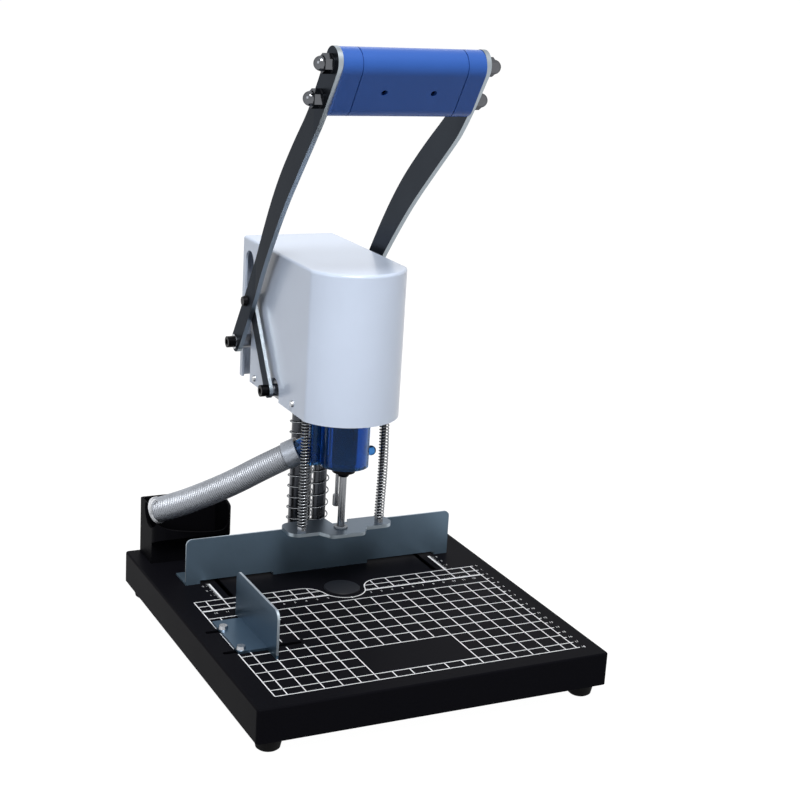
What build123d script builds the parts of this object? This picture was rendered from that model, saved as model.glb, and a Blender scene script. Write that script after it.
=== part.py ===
"""Single-spindle electric paper drill with a hand lever, a suction hose and a chip bin.

A black sheet-steel base carries a cutting pad, a back fence and a side gauge that slide in
slots, a chip bin, and two upright columns: a thick main column with a thin guide column in
front of it.  A yoke joins the column tops and holds the fulcrum of the lever.  The drill head
(carriage, cover, motor, suction chamber, spindle) slides on the columns against two return
springs.  Two link bars hang from the lever arms and pull the head down.  A press plate hangs
under the head on two sprung rods and clamps the paper before the hollow bit reaches it.

Frame: X to the right, Y to the back, Z up, millimetres.  The origin is on the floor in the
middle of the bounding box.  The cutting pad, the bit and the rods stand at y = drill_y.
"""
from math import atan2, cos, degrees, hypot, pi, radians, sin, sqrt, tan
import os

from build123d import *

# ---------------------------------------------------------------- driving dimensions
drill_y = 28.3               # the drill axis, behind the middle of the object
fit = 0.3                    # clearance between parts that move past each other
running_fit = 0.1            # radial clearance of a shaft in its bore

# base
base_width = 300.0
base_depth = 325.0
base_front_y = -168.6
skirt_height = 27.5
base_wall = 1.5
base_corner_radius = 3.0
base_top_radius = 1.6
flange_width = 12.0          # inward flange under the skirt that carries the floor plate
floor_plate_thickness = 1.3

# feet
foot_height = 11.5
foot_top_diameter = 23.0
foot_bottom_diameter = 18.0
foot_inset = 15.0            # centre to the edges of the base
foot_edge = 1.2
foot_bolt_diameter = 4.0

# columns, measured from the table top and from the drill axis
main_column_diameter = 20.0
main_column_dy = 90.0
guide_column_diameter = 12.0
guide_column_dy = 48.0
column_top = 201.0
column_block_thickness = 14.0
column_block_width = 64.0
column_block_margin = 30.0   # block past the axes of the bit and of the main column
column_nut_height = 7.0

# cutting pad
pad_diameter = 31.0
pad_dy = -9.0                # off the drill axis, so that a turn brings up a fresh place
pad_rise = 1.0
pad_seat_depth = 5.0

# back fence
fence_length = 250.0
fence_height = 41.0
fence_wall = 1.5
fence_dy = 36.5              # front face
fence_corner_radius = 5.0
fence_flange_depth = 24.0
fence_notch_height = 3.0
fence_notch_inner_x = 45.0
fence_notch_outer_x = 112.0
fence_notch_reach = 8.0
fence_slot_x = 95.7
fence_slot_front_dy = 3.0
fence_slot_back_dy = 64.0
slot_width = 4.5

# side gauge
gauge_wall_x = -104.0        # face towards the paper
gauge_thickness = 2.0
gauge_height = 39.0
gauge_front_dy = -122.0
gauge_back_dy = -33.0
gauge_corner_radius = 6.0
gauge_flange_width = 26.0
gauge_flange_front_dy = -104.0
gauge_flange_back_dy = -44.0
gauge_slot_dys = (-59.0, -99.0)
gauge_slot_left_x = -141.0
gauge_slot_right_x = -75.0
gauge_screw_x = -126.0

# chip bin
bin_left_x = -137.5
bin_width = 72.0
bin_height = 50.0
bin_wall = 2.2
bin_front_dy = 81.0          # front of the bowl
bin_foot_dy = 92.0           # front of the lower body
bin_step_height = 25.0       # where the bowl steps forward
bin_front_height = 42.0
bin_flat_dy = 104.0          # the rim is level behind this
bin_front_radius = 12.0
bin_back_radius = 3.0
bin_rim_sweep = 1.5          # how far the rim bows between the two
bin_scoop = (                # the dip in the front rim, as (x, height)
    (-134.0, 38.0),
    (-123.0, 33.5),
    (-111.0, 31.0),
    (-84.0, 28.0),
    (-74.0, 29.5),
    (-69.0, 38.0),
)
bin_scoop_back_dy = 93.0
hose_notch_dy = 98.0
hose_notch_radius = 14.0
hose_notch_height = 46.0

# head cover
cover_bottom = 153.0
cover_height = 126.5
cover_half_width = 43.0
cover_back_dy = 140.3
cover_wall = 2.0
cover_nose_radius = 46.7
cover_nose_centre_dy = 7.2
cover_nose_blend = 9.0
cover_top_radius = 2.5
fulcrum_slot_width = 19.0
fulcrum_slot_top = 268.7
link_notch_radius = 10.5

# carriage
carriage_bottom = 154.0
carriage_thickness = 15.0
carriage_front_dy = -10.0
carriage_back_dy = 108.0
motor_flange_radius = 31.0
main_bush_diameter = 27.0
main_bush_bottom = 148.5
main_bush_top = 175.0
guide_sleeve_diameter = 15.0
guide_sleeve_bottom = 106.5
sleeve_flange_diameter = 18.0
sleeve_flange_height = 2.0
cover_screw_places = ((102.0, 159.0), (15.0, 161.0))   # (dy, height) on each side
cover_screw_head_diameter = 6.0
cover_screw_head_height = 1.8
cover_screw_diameter = 3.0

# motor and spindle
motor_diameter = 42.0
motor_length = 66.0
motor_cap_height = 12.0
spindle_housing_diameter = 21.0
spindle_diameter = 8.0
bearing_diameter = 16.0
bearing_width = 5.0
collet_diameter = 19.5
collet_top = 107.5
collet_cylinder_bottom = 102.5
collet_bottom = 98.5
collet_nose_diameter = 8.5
bit_diameter = 6.2
bit_bore = 4.6
bit_tip = 48.2
bit_tip_taper = 4.0

# suction chamber
chamber_bottom = 109.0
chamber_radius = 20.8
chamber_wall = 2.0
outlet_corners = (           # the square outlet at its left, as (x, dy)
    (-29.5, 3.5),
    (-29.5, 10.0),
    (-21.5, 25.0),
    (-4.0, 25.0),
    (-4.0, 3.5),
)
outlet_corner_radius = 3.0
nozzle_diameter = 18.6
nozzle_bore = 14.0
knob_dx = 24.7
knob_height = 119.0
knob_radius = 4.3

# depth stop rod behind the bit
stop_rod_x = 1.5
stop_rod_dy = 15.0
stop_rod_diameter = 3.2
stop_foot_diameter = 6.4
stop_foot_bottom = 66.5
stop_foot_height = 10.0

# press plate and its rods
plate_bottom = 49.5
plate_thickness = 3.0
plate_half_length = 48.0
plate_lobe_width = 22.0
plate_lobe_front_dy = -6.0
plate_left_back_dy = 23.0
plate_nose_half_width = 17.0
plate_nose_front_dy = -17.5
plate_notch_left_x = -5.0
plate_notch_right_x = 13.0
plate_notch_front_dy = 8.0
rod_x = 35.8
rod_diameter = 4.0
rod_nut_width = 7.0
rod_nut_height = 4.5
rod_top = 179.0
bit_guide_diameter = 12.0
bit_guide_rise = 1.2

# springs
main_spring_wire = 1.3
main_spring_clearance = 0.65   # between the column and the coil
main_spring_turns = 16
guide_spring_wire = 1.1
guide_spring_clearance = 1.25
guide_spring_turns = 11
press_spring_wire = 1.0
press_spring_clearance = 1.8
press_spring_turns = 33
spring_seat_thickness = 1.5
coil_gap_min = 0.4

# lever: fulcrum A, link pin B and link foot C, as (dy, height)
fulcrum = (123.0, 188.0)
link_pin = (101.0, 229.5)
link_foot = (56.0, 161.5)
arm_end = (-79.0, 448.5)
arm_stations = (             # centre line of the arm and its half width, as (dy, height, half)
    (*fulcrum, 9.0),
    (94.5, 232.0, 9.0),
    (77.0, 260.0, 9.3),
    (49.5, 300.0, 11.2),
    (17.2, 340.0, 12.7),
    (-2.3, 360.0, 12.8),
    (-23.0, 380.0, 12.4),
    (-43.6, 400.0, 11.7),
    (-60.5, 421.0, 11.6),
    (*arm_end, 12.0),
)
arm_thickness = 4.0
arm_foot_radius = 9.0
arm_end_radius = 12.0
arm_foot_x = 54.0            # outer face at the fulcrum
arm_grip_x = 63.2            # outer face at the grip
arm_splay_back_dy = 80.0     # the arms spread between these two places
arm_splay_front_dy = -50.0
link_thickness = 3.0
link_width = 13.0
link_gap = 0.5
pin_diameter = 6.0
pin_head_diameter = 10.0
pin_head_height = 3.2
socket_head_diameter = 10.0
socket_head_height = 6.5
socket_width = 5.0
washer_thickness = 1.2
washer_diameter = 13.0
yoke_bottom = 181.0
yoke_thickness = 14.0
yoke_arm_half_width = 15.0
crossbar_half_length = 37.0
crossbar_width = 15.0
journal_diameter = 12.0

# grip
grip_centre = (-70.2, 434.0)
grip_tilt = 32.0             # degrees forward of upright
grip_height = 57.0
grip_depth = 26.0
grip_cap_length = 16.0
grip_joint_width = 0.8
grip_joint_depth = 1.0
tie_rod_spacing = 32.0
tie_rod_diameter = 8.0
acorn_width = 13.0
acorn_hex_height = 6.5
acorn_dome_radius = 5.6
acorn_dome_height = 13.0
grip_screw_x = 20.6
grip_screw_diameter = 5.0

# hose from the chamber to the bin, points chosen by hand as (x, dy, height)
hose_diameter = 22.0
hose_bore = 18.8
hose_route = (
    (-33.0, 19.5, 118.0),
    (-55.0, 32.5, 103.5),
    (-80.0, 51.5, 82.5),
    (-104.0, 71.5, 65.0),
    (-119.0, 86.0, 54.5),
    (-132.0, 100.0, 46.0),
)
cuff_length = 12.0
cuff_gap = 0.15
cuff_thickness = 0.9
tie_width = 3.0
tie_thickness = 1.2

# ---------------------------------------------------------------- derived places
table_z = foot_height + skirt_height
base_y = base_front_y + base_depth / 2
skirt_bottom_z = foot_height
top_inside_z = table_z - base_wall
main_y = drill_y + main_column_dy
guide_y = drill_y + guide_column_dy
pad_y = drill_y + pad_dy
carriage_top = carriage_bottom + carriage_thickness
main_spring_mean_radius = main_column_diameter / 2 + main_spring_clearance + main_spring_wire / 2
guide_spring_mean_radius = guide_column_diameter / 2 + guide_spring_clearance + guide_spring_wire / 2
press_spring_mean_radius = rod_diameter / 2 + press_spring_clearance + press_spring_wire / 2


def at(dy, height):
    """Turn a place given from the drill axis and the table top into (y, z)."""
    return (drill_y + dy, table_z + height)


def point(x, dy, height):
    """Turn (x, dy, height) from the drill axis and the table top into a vector."""
    return Vector(x, drill_y + dy, table_z + height)


def up(height):
    """Horizontal sketch plane at a height over the table top."""
    return Plane.XY.offset(table_z + height)


def side(x):
    """Sketch plane facing +X at x, its own x along Y and its own y along Z."""
    return Plane.YZ.offset(x)


parts = []


def finish(builder, label):
    """Name a finished piece and keep it for export."""
    builder.part.label = label
    parts.append(builder.part)


# ---------------------------------------------------------------- standard hardware
def hex_nut(width, height, bore):
    """A plain hexagon nut standing on Z = 0."""
    with BuildPart() as nut:
        with BuildSketch():
            RegularPolygon(width / 2, 6, major_radius=False)
            Circle(bore / 2, mode=Mode.SUBTRACT)
        extrude(amount=height)
    return nut.part


def socket_screw(head_diameter, head_height, shank_diameter, shank_length, key_width):
    """A socket-head screw with its head over Z = 0 and its shank below."""
    with BuildPart() as screw:
        Cylinder(head_diameter / 2, head_height, align=(Align.CENTER, Align.CENTER, Align.MIN))
        with BuildSketch(Plane.XY.offset(head_height)):
            RegularPolygon(key_width / 2, 6, major_radius=False)
        extrude(amount=-head_height * 0.55, mode=Mode.SUBTRACT)
        Cylinder(shank_diameter / 2, shank_length, align=(Align.CENTER, Align.CENTER, Align.MAX))
    return screw.part


def pan_screw(head_diameter, head_height, shank_diameter, shank_length):
    """A pan-head screw, its head over Z = 0 and its shank below."""
    with BuildPart() as screw:
        Cone(
            head_diameter / 2,
            head_diameter / 2 - head_height * 0.3,
            head_height,
            align=(Align.CENTER, Align.CENTER, Align.MIN),
        )
        Cylinder(shank_diameter / 2, shank_length, align=(Align.CENTER, Align.CENTER, Align.MAX))
    return screw.part


def facing(x, dy, height):
    """Location of a fastener that enters sideways, its head turned away from x = 0."""
    y, z = at(dy, height)
    return Location((x, y, z), (0, 90 if x > 0 else -90, 0))


# ---------------------------------------------------------------- base
foot_places = [
    (sx * (base_width / 2 - foot_inset), base_y + sy * (base_depth / 2 - foot_inset))
    for sx in (-1, 1)
    for sy in (-1, 1)
]
inner_width = base_width - 2 * base_wall
inner_depth = base_depth - 2 * base_wall
floor_plate_top_z = skirt_bottom_z + floor_plate_thickness
flange_top_z = floor_plate_top_z + base_wall
slot_y = drill_y + (fence_slot_front_dy + fence_slot_back_dy) / 2
slot_length = fence_slot_back_dy - fence_slot_front_dy
gauge_slot_x = (gauge_slot_left_x + gauge_slot_right_x) / 2
gauge_slot_length = gauge_slot_right_x - gauge_slot_left_x

with BuildPart() as base_housing:
    with BuildSketch(Plane.XY.offset(skirt_bottom_z)):
        with Locations((0, base_y)):
            Rectangle(base_width, base_depth)
    extrude(amount=skirt_height)
    fillet(base_housing.edges().filter_by(Axis.Z), base_corner_radius)
    fillet(base_housing.faces().sort_by(Axis.Z)[-1].edges(), base_top_radius)
    with BuildSketch(Plane.XY.offset(skirt_bottom_z)):
        with Locations((0, base_y)):
            Rectangle(inner_width, inner_depth)
    extrude(amount=floor_plate_thickness, mode=Mode.SUBTRACT)
    with BuildSketch(Plane.XY.offset(floor_plate_top_z)):
        with Locations((0, base_y)):
            Rectangle(inner_width - 2 * flange_width, inner_depth - 2 * flange_width)
    extrude(amount=base_wall, mode=Mode.SUBTRACT)
    with BuildSketch(Plane.XY.offset(flange_top_z)):
        with Locations((0, base_y)):
            Rectangle(inner_width, inner_depth)
    extrude(amount=top_inside_z - flange_top_z, mode=Mode.SUBTRACT)
    with BuildSketch(Plane.XY.offset(top_inside_z)):
        with Locations((-fence_slot_x, slot_y), (fence_slot_x, slot_y)):
            SlotOverall(slot_length, slot_width, rotation=90)
        with Locations(*[(gauge_slot_x, drill_y + dy) for dy in gauge_slot_dys]):
            SlotOverall(gauge_slot_length, slot_width)
        with Locations((0, pad_y)):
            Circle(pad_diameter / 2 + fit)
        with Locations((0, main_y)):
            Circle(main_column_diameter / 2 + fit)
        with Locations((0, guide_y)):
            Circle(guide_column_diameter / 2 + fit)
    extrude(amount=base_wall, mode=Mode.SUBTRACT)
    with BuildSketch(Plane.XY.offset(floor_plate_top_z)):
        with Locations(*foot_places):
            Circle(foot_bolt_diameter / 2 + fit)
    extrude(amount=base_wall, mode=Mode.SUBTRACT)
finish(base_housing, "base_housing")

with BuildPart() as floor_plate:
    with BuildSketch(Plane.XY.offset(skirt_bottom_z)):
        with Locations((0, base_y)):
            Rectangle(inner_width - fit, inner_depth - fit)
        with Locations(*foot_places):
            Circle(foot_bolt_diameter / 2 + fit, mode=Mode.SUBTRACT)
    extrude(amount=floor_plate_thickness)
finish(floor_plate, "floor_plate")

foot_bolt_head_height = 2.4
foot_bolt_head_diameter = 7.6
foot_recess_depth = foot_bolt_head_height + 1.6
with BuildPart() as feet:
    with Locations(*[(x, y, 0) for x, y in foot_places]):
        Cone(
            foot_bottom_diameter / 2,
            foot_top_diameter / 2,
            foot_height,
            align=(Align.CENTER, Align.CENTER, Align.MIN),
        )
    chamfer(feet.edges().group_by(Axis.Z)[0], foot_edge)
    with Locations(*[(x, y, 0) for x, y in foot_places]):
        Cylinder(
            foot_bolt_head_diameter / 2 + fit,
            foot_recess_depth,
            align=(Align.CENTER, Align.CENTER, Align.MIN),
            mode=Mode.SUBTRACT,
        )
        Cylinder(foot_bolt_diameter / 2 + fit, 2 * foot_height, mode=Mode.SUBTRACT)
finish(feet, "feet")

foot_nut_height = 3.2
foot_bolt_length = flange_top_z + foot_nut_height + 1 - foot_recess_depth
foot_bolt = pan_screw(
    foot_bolt_head_diameter, foot_bolt_head_height, foot_bolt_diameter, foot_bolt_length
)
with BuildPart() as foot_bolts:
    with Locations(*[Location((x, y, foot_recess_depth), (180, 0, 0)) for x, y in foot_places]):
        add(foot_bolt)
finish(foot_bolts, "foot_bolts")

foot_nut = hex_nut(7.0, foot_nut_height, foot_bolt_diameter)
with BuildPart() as foot_nuts:
    with Locations(*[(x, y, flange_top_z) for x, y in foot_places]):
        add(foot_nut)
finish(foot_nuts, "foot_nuts")

# ---------------------------------------------------------------- column frame
block_front_y = drill_y - column_block_margin
block_back_y = main_y + column_block_margin
block_bottom_z = top_inside_z - column_block_thickness
with BuildPart() as column_block:
    with BuildSketch(Plane.XY.offset(block_bottom_z)):
        with Locations((0, (block_front_y + block_back_y) / 2)):
            RectangleRounded(column_block_width, block_back_y - block_front_y, 6)
        with Locations((0, main_y)):
            Circle(main_column_diameter / 2, mode=Mode.SUBTRACT)
        with Locations((0, guide_y)):
            Circle(guide_column_diameter / 2, mode=Mode.SUBTRACT)
    extrude(amount=column_block_thickness)
    with BuildSketch(Plane.XY.offset(top_inside_z)):
        with Locations((0, pad_y)):
            Circle(pad_diameter / 2 + fit)
    extrude(amount=-pad_seat_depth, mode=Mode.SUBTRACT)
finish(column_block, "column_block")

with BuildPart() as cutting_pad:
    with BuildSketch(Plane.XY.offset(top_inside_z - pad_seat_depth)):
        with Locations((0, pad_y)):
            Circle(pad_diameter / 2)
    extrude(amount=pad_seat_depth + base_wall + pad_rise)
    chamfer(cutting_pad.edges().group_by(Axis.Z)[-1], 0.4)
finish(cutting_pad, "cutting_pad")


def column(diameter, y):
    """A round column from under its block to the top of the yoke, with a stepped foot."""
    stud = diameter * 0.7
    with BuildPart() as post:
        with BuildSketch(Plane.XY.offset(block_bottom_z)):
            with Locations((0, y)):
                Circle(diameter / 2)
        extrude(amount=table_z + column_top - block_bottom_z)
        chamfer(post.edges().group_by(Axis.Z)[-1], 1)
        with BuildSketch(Plane.XY.offset(block_bottom_z)):
            with Locations((0, y)):
                Circle(stud / 2)
        extrude(amount=-column_nut_height - 1)
    return post


main_column = column(main_column_diameter, main_y)
finish(main_column, "main_column")
guide_column = column(guide_column_diameter, guide_y)
finish(guide_column, "guide_column")

main_nut = hex_nut(main_column_diameter * 1.1, column_nut_height, main_column_diameter * 0.7)
guide_nut = hex_nut(guide_column_diameter * 1.3, column_nut_height, guide_column_diameter * 0.7)
with BuildPart() as column_nuts:
    with Locations((0, main_y, block_bottom_z - column_nut_height)):
        add(main_nut)
    with Locations((0, guide_y, block_bottom_z - column_nut_height)):
        add(guide_nut)
finish(column_nuts, "column_nuts")

with BuildPart() as spring_seats:
    for y, radius, bore in (
        (main_y, main_spring_mean_radius + 2, main_column_diameter / 2),
        (guide_y, guide_spring_mean_radius + 1.2, guide_column_diameter / 2),
    ):
        with BuildSketch(up(0)):
            with Locations((0, y)):
                Circle(radius)
                Circle(bore, mode=Mode.SUBTRACT)
        extrude(amount=spring_seat_thickness)
finish(spring_seats, "spring_seats")

journal_end_x = arm_foot_x - arm_thickness - fit
with BuildPart() as yoke:
    with BuildSketch(up(yoke_bottom)):
        with Locations((0, (main_y + drill_y + fulcrum[0]) / 2)):
            Rectangle(2 * yoke_arm_half_width, fulcrum[0] - main_column_dy)
        with Locations((0, (main_y + guide_y) / 2)):
            Rectangle(1.5 * yoke_arm_half_width, main_y - guide_y)
        with Locations((0, main_y)):
            Circle(main_column_diameter / 2 + 9)
        with Locations((0, guide_y)):
            Circle(guide_column_diameter / 2 + 7)
        with Locations((0, drill_y + fulcrum[0])):
            Rectangle(2 * crossbar_half_length, crossbar_width)
    extrude(amount=yoke_thickness)
    with BuildSketch(up(yoke_bottom)):
        with Locations((0, main_y)):
            Circle(main_column_diameter / 2)
        with Locations((0, guide_y)):
            Circle(guide_column_diameter / 2)
    extrude(amount=yoke_thickness, mode=Mode.SUBTRACT)
    with BuildSketch(side(-journal_end_x)):
        with Locations(at(*fulcrum)):
            Circle(journal_diameter / 2)
    extrude(amount=2 * journal_end_x)
    with BuildSketch(side(-journal_end_x)):
        with Locations(at(*fulcrum)):
            Circle(pin_diameter / 2)
    extrude(amount=18, mode=Mode.SUBTRACT)
    with BuildSketch(side(journal_end_x)):
        with Locations(at(*fulcrum)):
            Circle(pin_diameter / 2)
    extrude(amount=-18, mode=Mode.SUBTRACT)
finish(yoke, "yoke")

# ---------------------------------------------------------------- back fence
fence_y = drill_y + fence_dy
notch_x = (fence_notch_inner_x + fence_notch_outer_x) / 2
notch_length = fence_notch_outer_x - fence_notch_inner_x
flange_back_y = fence_y + fence_wall + fence_flange_depth
fence_bolt_y = drill_y + fence_dy + fence_wall + fence_flange_depth / 2 + 1
with BuildPart() as fence:
    with BuildSketch(Plane.XZ.offset(-fence_y)) as fence_face:
        with Locations((0, table_z + fence_height / 2)):
            Rectangle(fence_length, fence_height)
        fillet(fence_face.vertices().group_by(Axis.Y)[-1], fence_corner_radius)
    extrude(amount=-fence_wall)
    with BuildSketch(up(0)):
        with Locations((0, fence_y + (fence_wall + fence_flange_depth) / 2)):
            Rectangle(fence_length, fence_wall + fence_flange_depth)
    extrude(amount=fence_wall)
    with BuildSketch(up(0)):
        with Locations((-notch_x, fence_y), (notch_x, fence_y)):
            Rectangle(notch_length, 2 * fence_notch_reach)
    extrude(amount=fence_notch_height, mode=Mode.SUBTRACT)
    with BuildSketch(up(0)):
        with Locations((0, flange_back_y)):
            Rectangle(
                2 * (guide_spring_mean_radius + 5), 2 * fence_flange_depth
            )
        with Locations((-fence_slot_x, fence_bolt_y), (fence_slot_x, fence_bolt_y)):
            Circle(slot_width / 2)
    extrude(amount=fence_wall, mode=Mode.SUBTRACT)
finish(fence, "fence")

slide_bolt_diameter = 4.0
slide_nut_height = 3.2
slide_nut_gap = 0.3
fence_bolt = pan_screw(8.0, 2.6, slide_bolt_diameter, fence_wall + base_wall + slide_nut_height + 2)
slide_nut = hex_nut(8.0, slide_nut_height, slide_bolt_diameter)
slide_nut_z = top_inside_z - slide_nut_gap - slide_nut_height
with BuildPart() as fence_screws:
    with Locations(
        (-fence_slot_x, fence_bolt_y, table_z + fence_wall),
        (fence_slot_x, fence_bolt_y, table_z + fence_wall),
    ):
        add(fence_bolt)
finish(fence_screws, "fence_screws")
with BuildPart() as fence_nuts:
    with Locations(
        (-fence_slot_x, fence_bolt_y, slide_nut_z), (fence_slot_x, fence_bolt_y, slide_nut_z)
    ):
        add(slide_nut)
finish(fence_nuts, "fence_nuts")

# ---------------------------------------------------------------- side gauge
gauge_length = gauge_back_dy - gauge_front_dy
gauge_flange_length = gauge_flange_back_dy - gauge_flange_front_dy
with BuildPart() as side_gauge:
    with BuildSketch(side(gauge_wall_x)) as gauge_face:
        with Locations(at((gauge_front_dy + gauge_back_dy) / 2, gauge_height / 2)):
            Rectangle(gauge_length, gauge_height)
        fillet(gauge_face.vertices().group_by(Axis.Y)[-1], gauge_corner_radius)
    extrude(amount=-gauge_thickness)
    with BuildSketch(up(0)):
        with Locations(
            (
                gauge_wall_x - gauge_flange_width / 2,
                drill_y + (gauge_flange_front_dy + gauge_flange_back_dy) / 2,
            )
        ):
            Rectangle(gauge_flange_width, gauge_flange_length)
        with Locations(*[(gauge_screw_x, drill_y + dy) for dy in gauge_slot_dys]):
            Circle(slide_bolt_diameter / 2, mode=Mode.SUBTRACT)
    extrude(amount=gauge_thickness)
finish(side_gauge, "side_gauge")

gauge_bolt = pan_screw(
    8.0, 2.6, slide_bolt_diameter, gauge_thickness + base_wall + slide_nut_height + 2
)
with BuildPart() as gauge_screws:
    with Locations(
        *[(gauge_screw_x, drill_y + dy, table_z + gauge_thickness) for dy in gauge_slot_dys]
    ):
        add(gauge_bolt)
finish(gauge_screws, "gauge_screws")
with BuildPart() as gauge_nuts:
    with Locations(*[(gauge_screw_x, drill_y + dy, slide_nut_z) for dy in gauge_slot_dys]):
        add(slide_nut)
finish(gauge_nuts, "gauge_nuts")

# ---------------------------------------------------------------- chip bin
bin_back_y = base_front_y + base_depth - 1
bin_back_dy = bin_back_y - drill_y


def bin_plan(inset):
    """Plan of the bin: a box with wide corners in front."""
    with BuildSketch() as plan:
        with Locations((bin_left_x + bin_width / 2, drill_y + (bin_front_dy + bin_back_dy) / 2)):
            Rectangle(bin_width - 2 * inset, bin_back_dy - bin_front_dy - 2 * inset)
        fillet(plan.vertices().group_by(Axis.Y)[0], bin_front_radius - inset)
        fillet(plan.vertices().group_by(Axis.Y)[-1], max(bin_back_radius - inset, 0.5))
    return plan.sketch


with BuildPart() as bin_hollow:
    with BuildSketch(side(bin_left_x)):
        with BuildLine():
            inner_front = bin_front_dy + bin_wall
            inner_foot = bin_foot_dy + bin_wall
            Polyline(
                at(inner_front, 2 * bin_height),
                at(inner_front, bin_step_height + bin_wall),
                at(inner_foot, bin_step_height - 0.5 * (inner_foot - inner_front) + bin_wall),
                at(inner_foot, bin_wall),
                at(bin_back_dy - bin_wall, bin_wall),
                at(bin_back_dy - bin_wall, 2 * bin_height),
                close=True,
            )
        make_face()
    extrude(amount=bin_width)
    with BuildSketch(up(0)):
        add(bin_plan(bin_wall))
    extrude(amount=2 * bin_height, mode=Mode.INTERSECT)

with BuildPart() as chip_bin:
    with BuildSketch(side(bin_left_x)):
        with BuildLine():
            Polyline(
                at(bin_front_dy, bin_front_height),
                at(bin_front_dy, bin_step_height),
                at(bin_foot_dy, bin_step_height - (bin_foot_dy - bin_front_dy) * 0.5),
                at(bin_foot_dy, 0),
                at(bin_back_dy, 0),
                at(bin_back_dy, bin_height),
                at(bin_flat_dy, bin_height),
            )
            SagittaArc(
                at(bin_flat_dy, bin_height), at(bin_front_dy, bin_front_height), -bin_rim_sweep
            )
        make_face()
    extrude(amount=bin_width)
    with BuildSketch(up(0)):
        add(bin_plan(0))
    extrude(amount=bin_height, mode=Mode.INTERSECT)
    add(bin_hollow.part, mode=Mode.SUBTRACT)
    scoop = [(x, table_z + height) for x, height in bin_scoop]
    with BuildSketch(Plane.XZ.offset(-(drill_y + bin_front_dy - 1))):
        with BuildLine():
            Spline(*scoop)
            Polyline(
                scoop[-1],
                (scoop[-1][0], table_z + 2 * bin_height),
                (scoop[0][0], table_z + 2 * bin_height),
                scoop[0],
            )
        make_face()
    extrude(amount=-(bin_scoop_back_dy - bin_front_dy + 1), mode=Mode.SUBTRACT)
    with BuildSketch(side(bin_left_x)):
        with Locations(at(hose_notch_dy, hose_notch_height)):
            Circle(hose_notch_radius)
        with Locations(at(hose_notch_dy, hose_notch_height + bin_height / 2)):
            Rectangle(2 * hose_notch_radius, bin_height)
    extrude(amount=2 * bin_wall, mode=Mode.SUBTRACT)
finish(chip_bin, "chip_bin")

# ---------------------------------------------------------------- carriage and cover
cover_back_y = drill_y + cover_back_dy
nose_y = drill_y + cover_nose_centre_dy


def cover_outline(inset):
    """Plan of the cover: square back, straight sides and a bowed nose."""
    half = cover_half_width - inset
    radius = cover_nose_radius - inset
    side_y = nose_y - sqrt(radius**2 - half**2)
    back = cover_back_y - inset
    with BuildSketch() as plan:
        with BuildLine():
            Polyline((-half, side_y), (-half, back), (half, back), (half, side_y))
            ThreePointArc((half, side_y), (0, nose_y - radius), (-half, side_y))
        make_face()
        fillet(plan.vertices().group_by(Axis.Y)[0], cover_nose_blend - inset)
    return plan.sketch


link_foot_y, link_foot_z = at(*link_foot)
fulcrum_y, fulcrum_z = at(*fulcrum)
with BuildPart() as head_cover:
    with BuildSketch(up(cover_bottom)):
        add(cover_outline(0))
    extrude(amount=cover_height)
    fillet(head_cover.edges().filter_by(Axis.Z).group_by(Axis.Y)[-1], cover_top_radius)
    fillet(head_cover.edges().group_by(Axis.Z)[-1], cover_top_radius)
    with BuildSketch(up(cover_bottom)):
        add(cover_outline(cover_wall))
    extrude(amount=cover_height - cover_wall, mode=Mode.SUBTRACT)
    slot_straight = table_z + fulcrum_slot_top - fulcrum_slot_width / 2
    with BuildSketch(side(-cover_half_width)):
        with Locations((fulcrum_y, slot_straight)):
            Circle(fulcrum_slot_width / 2)
        with Locations((fulcrum_y, (slot_straight + table_z + cover_bottom) / 2)):
            Rectangle(fulcrum_slot_width, slot_straight - table_z - cover_bottom)
        with Locations((link_foot_y, link_foot_z)):
            Circle(link_notch_radius)
        with Locations((link_foot_y, (link_foot_z + table_z + cover_bottom) / 2)):
            Rectangle(2 * link_notch_radius, link_foot_z - table_z - cover_bottom)
        with Locations(*[at(*place) for place in cover_screw_places]):
            Circle(cover_screw_diameter / 2)
    extrude(amount=2 * cover_half_width, mode=Mode.SUBTRACT)
finish(head_cover, "head_cover")

carriage_half_width = cover_half_width - cover_wall - fit
with BuildPart() as carriage:
    with BuildSketch(up(carriage_bottom)):
        with Locations((0, drill_y + (carriage_front_dy + carriage_back_dy) / 2)):
            Rectangle(2 * carriage_half_width, carriage_back_dy - carriage_front_dy)
        with Locations((0, drill_y)):
            Circle(motor_flange_radius)
    extrude(amount=carriage_thickness)
    with BuildSketch(up(carriage_bottom)):
        with Locations((0, main_y)):
            Circle(main_bush_diameter / 2)
        with Locations((0, guide_y)):
            Circle(guide_sleeve_diameter / 2)
        with Locations((0, drill_y)):
            Circle(spindle_housing_diameter / 2)
        with Locations((-rod_x, drill_y), (rod_x, drill_y)):
            Circle(rod_diameter / 2 + fit)
    extrude(amount=carriage_thickness, mode=Mode.SUBTRACT)
    for x in (-carriage_half_width, carriage_half_width):
        with BuildSketch(side(x)):
            with Locations(*[at(*place) for place in cover_screw_places]):
                Circle(cover_screw_diameter / 2)
            with Locations((link_foot_y, link_foot_z)):
                Circle(pin_diameter / 2)
        extrude(amount=-12 if x > 0 else 12, mode=Mode.SUBTRACT)
finish(carriage, "carriage")

with BuildPart() as main_bush:
    with BuildSketch(up(main_bush_bottom)):
        with Locations((0, main_y)):
            Circle(main_bush_diameter / 2)
            Circle(main_column_diameter / 2 + running_fit, mode=Mode.SUBTRACT)
    extrude(amount=main_bush_top - main_bush_bottom)
finish(main_bush, "main_bush")

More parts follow.
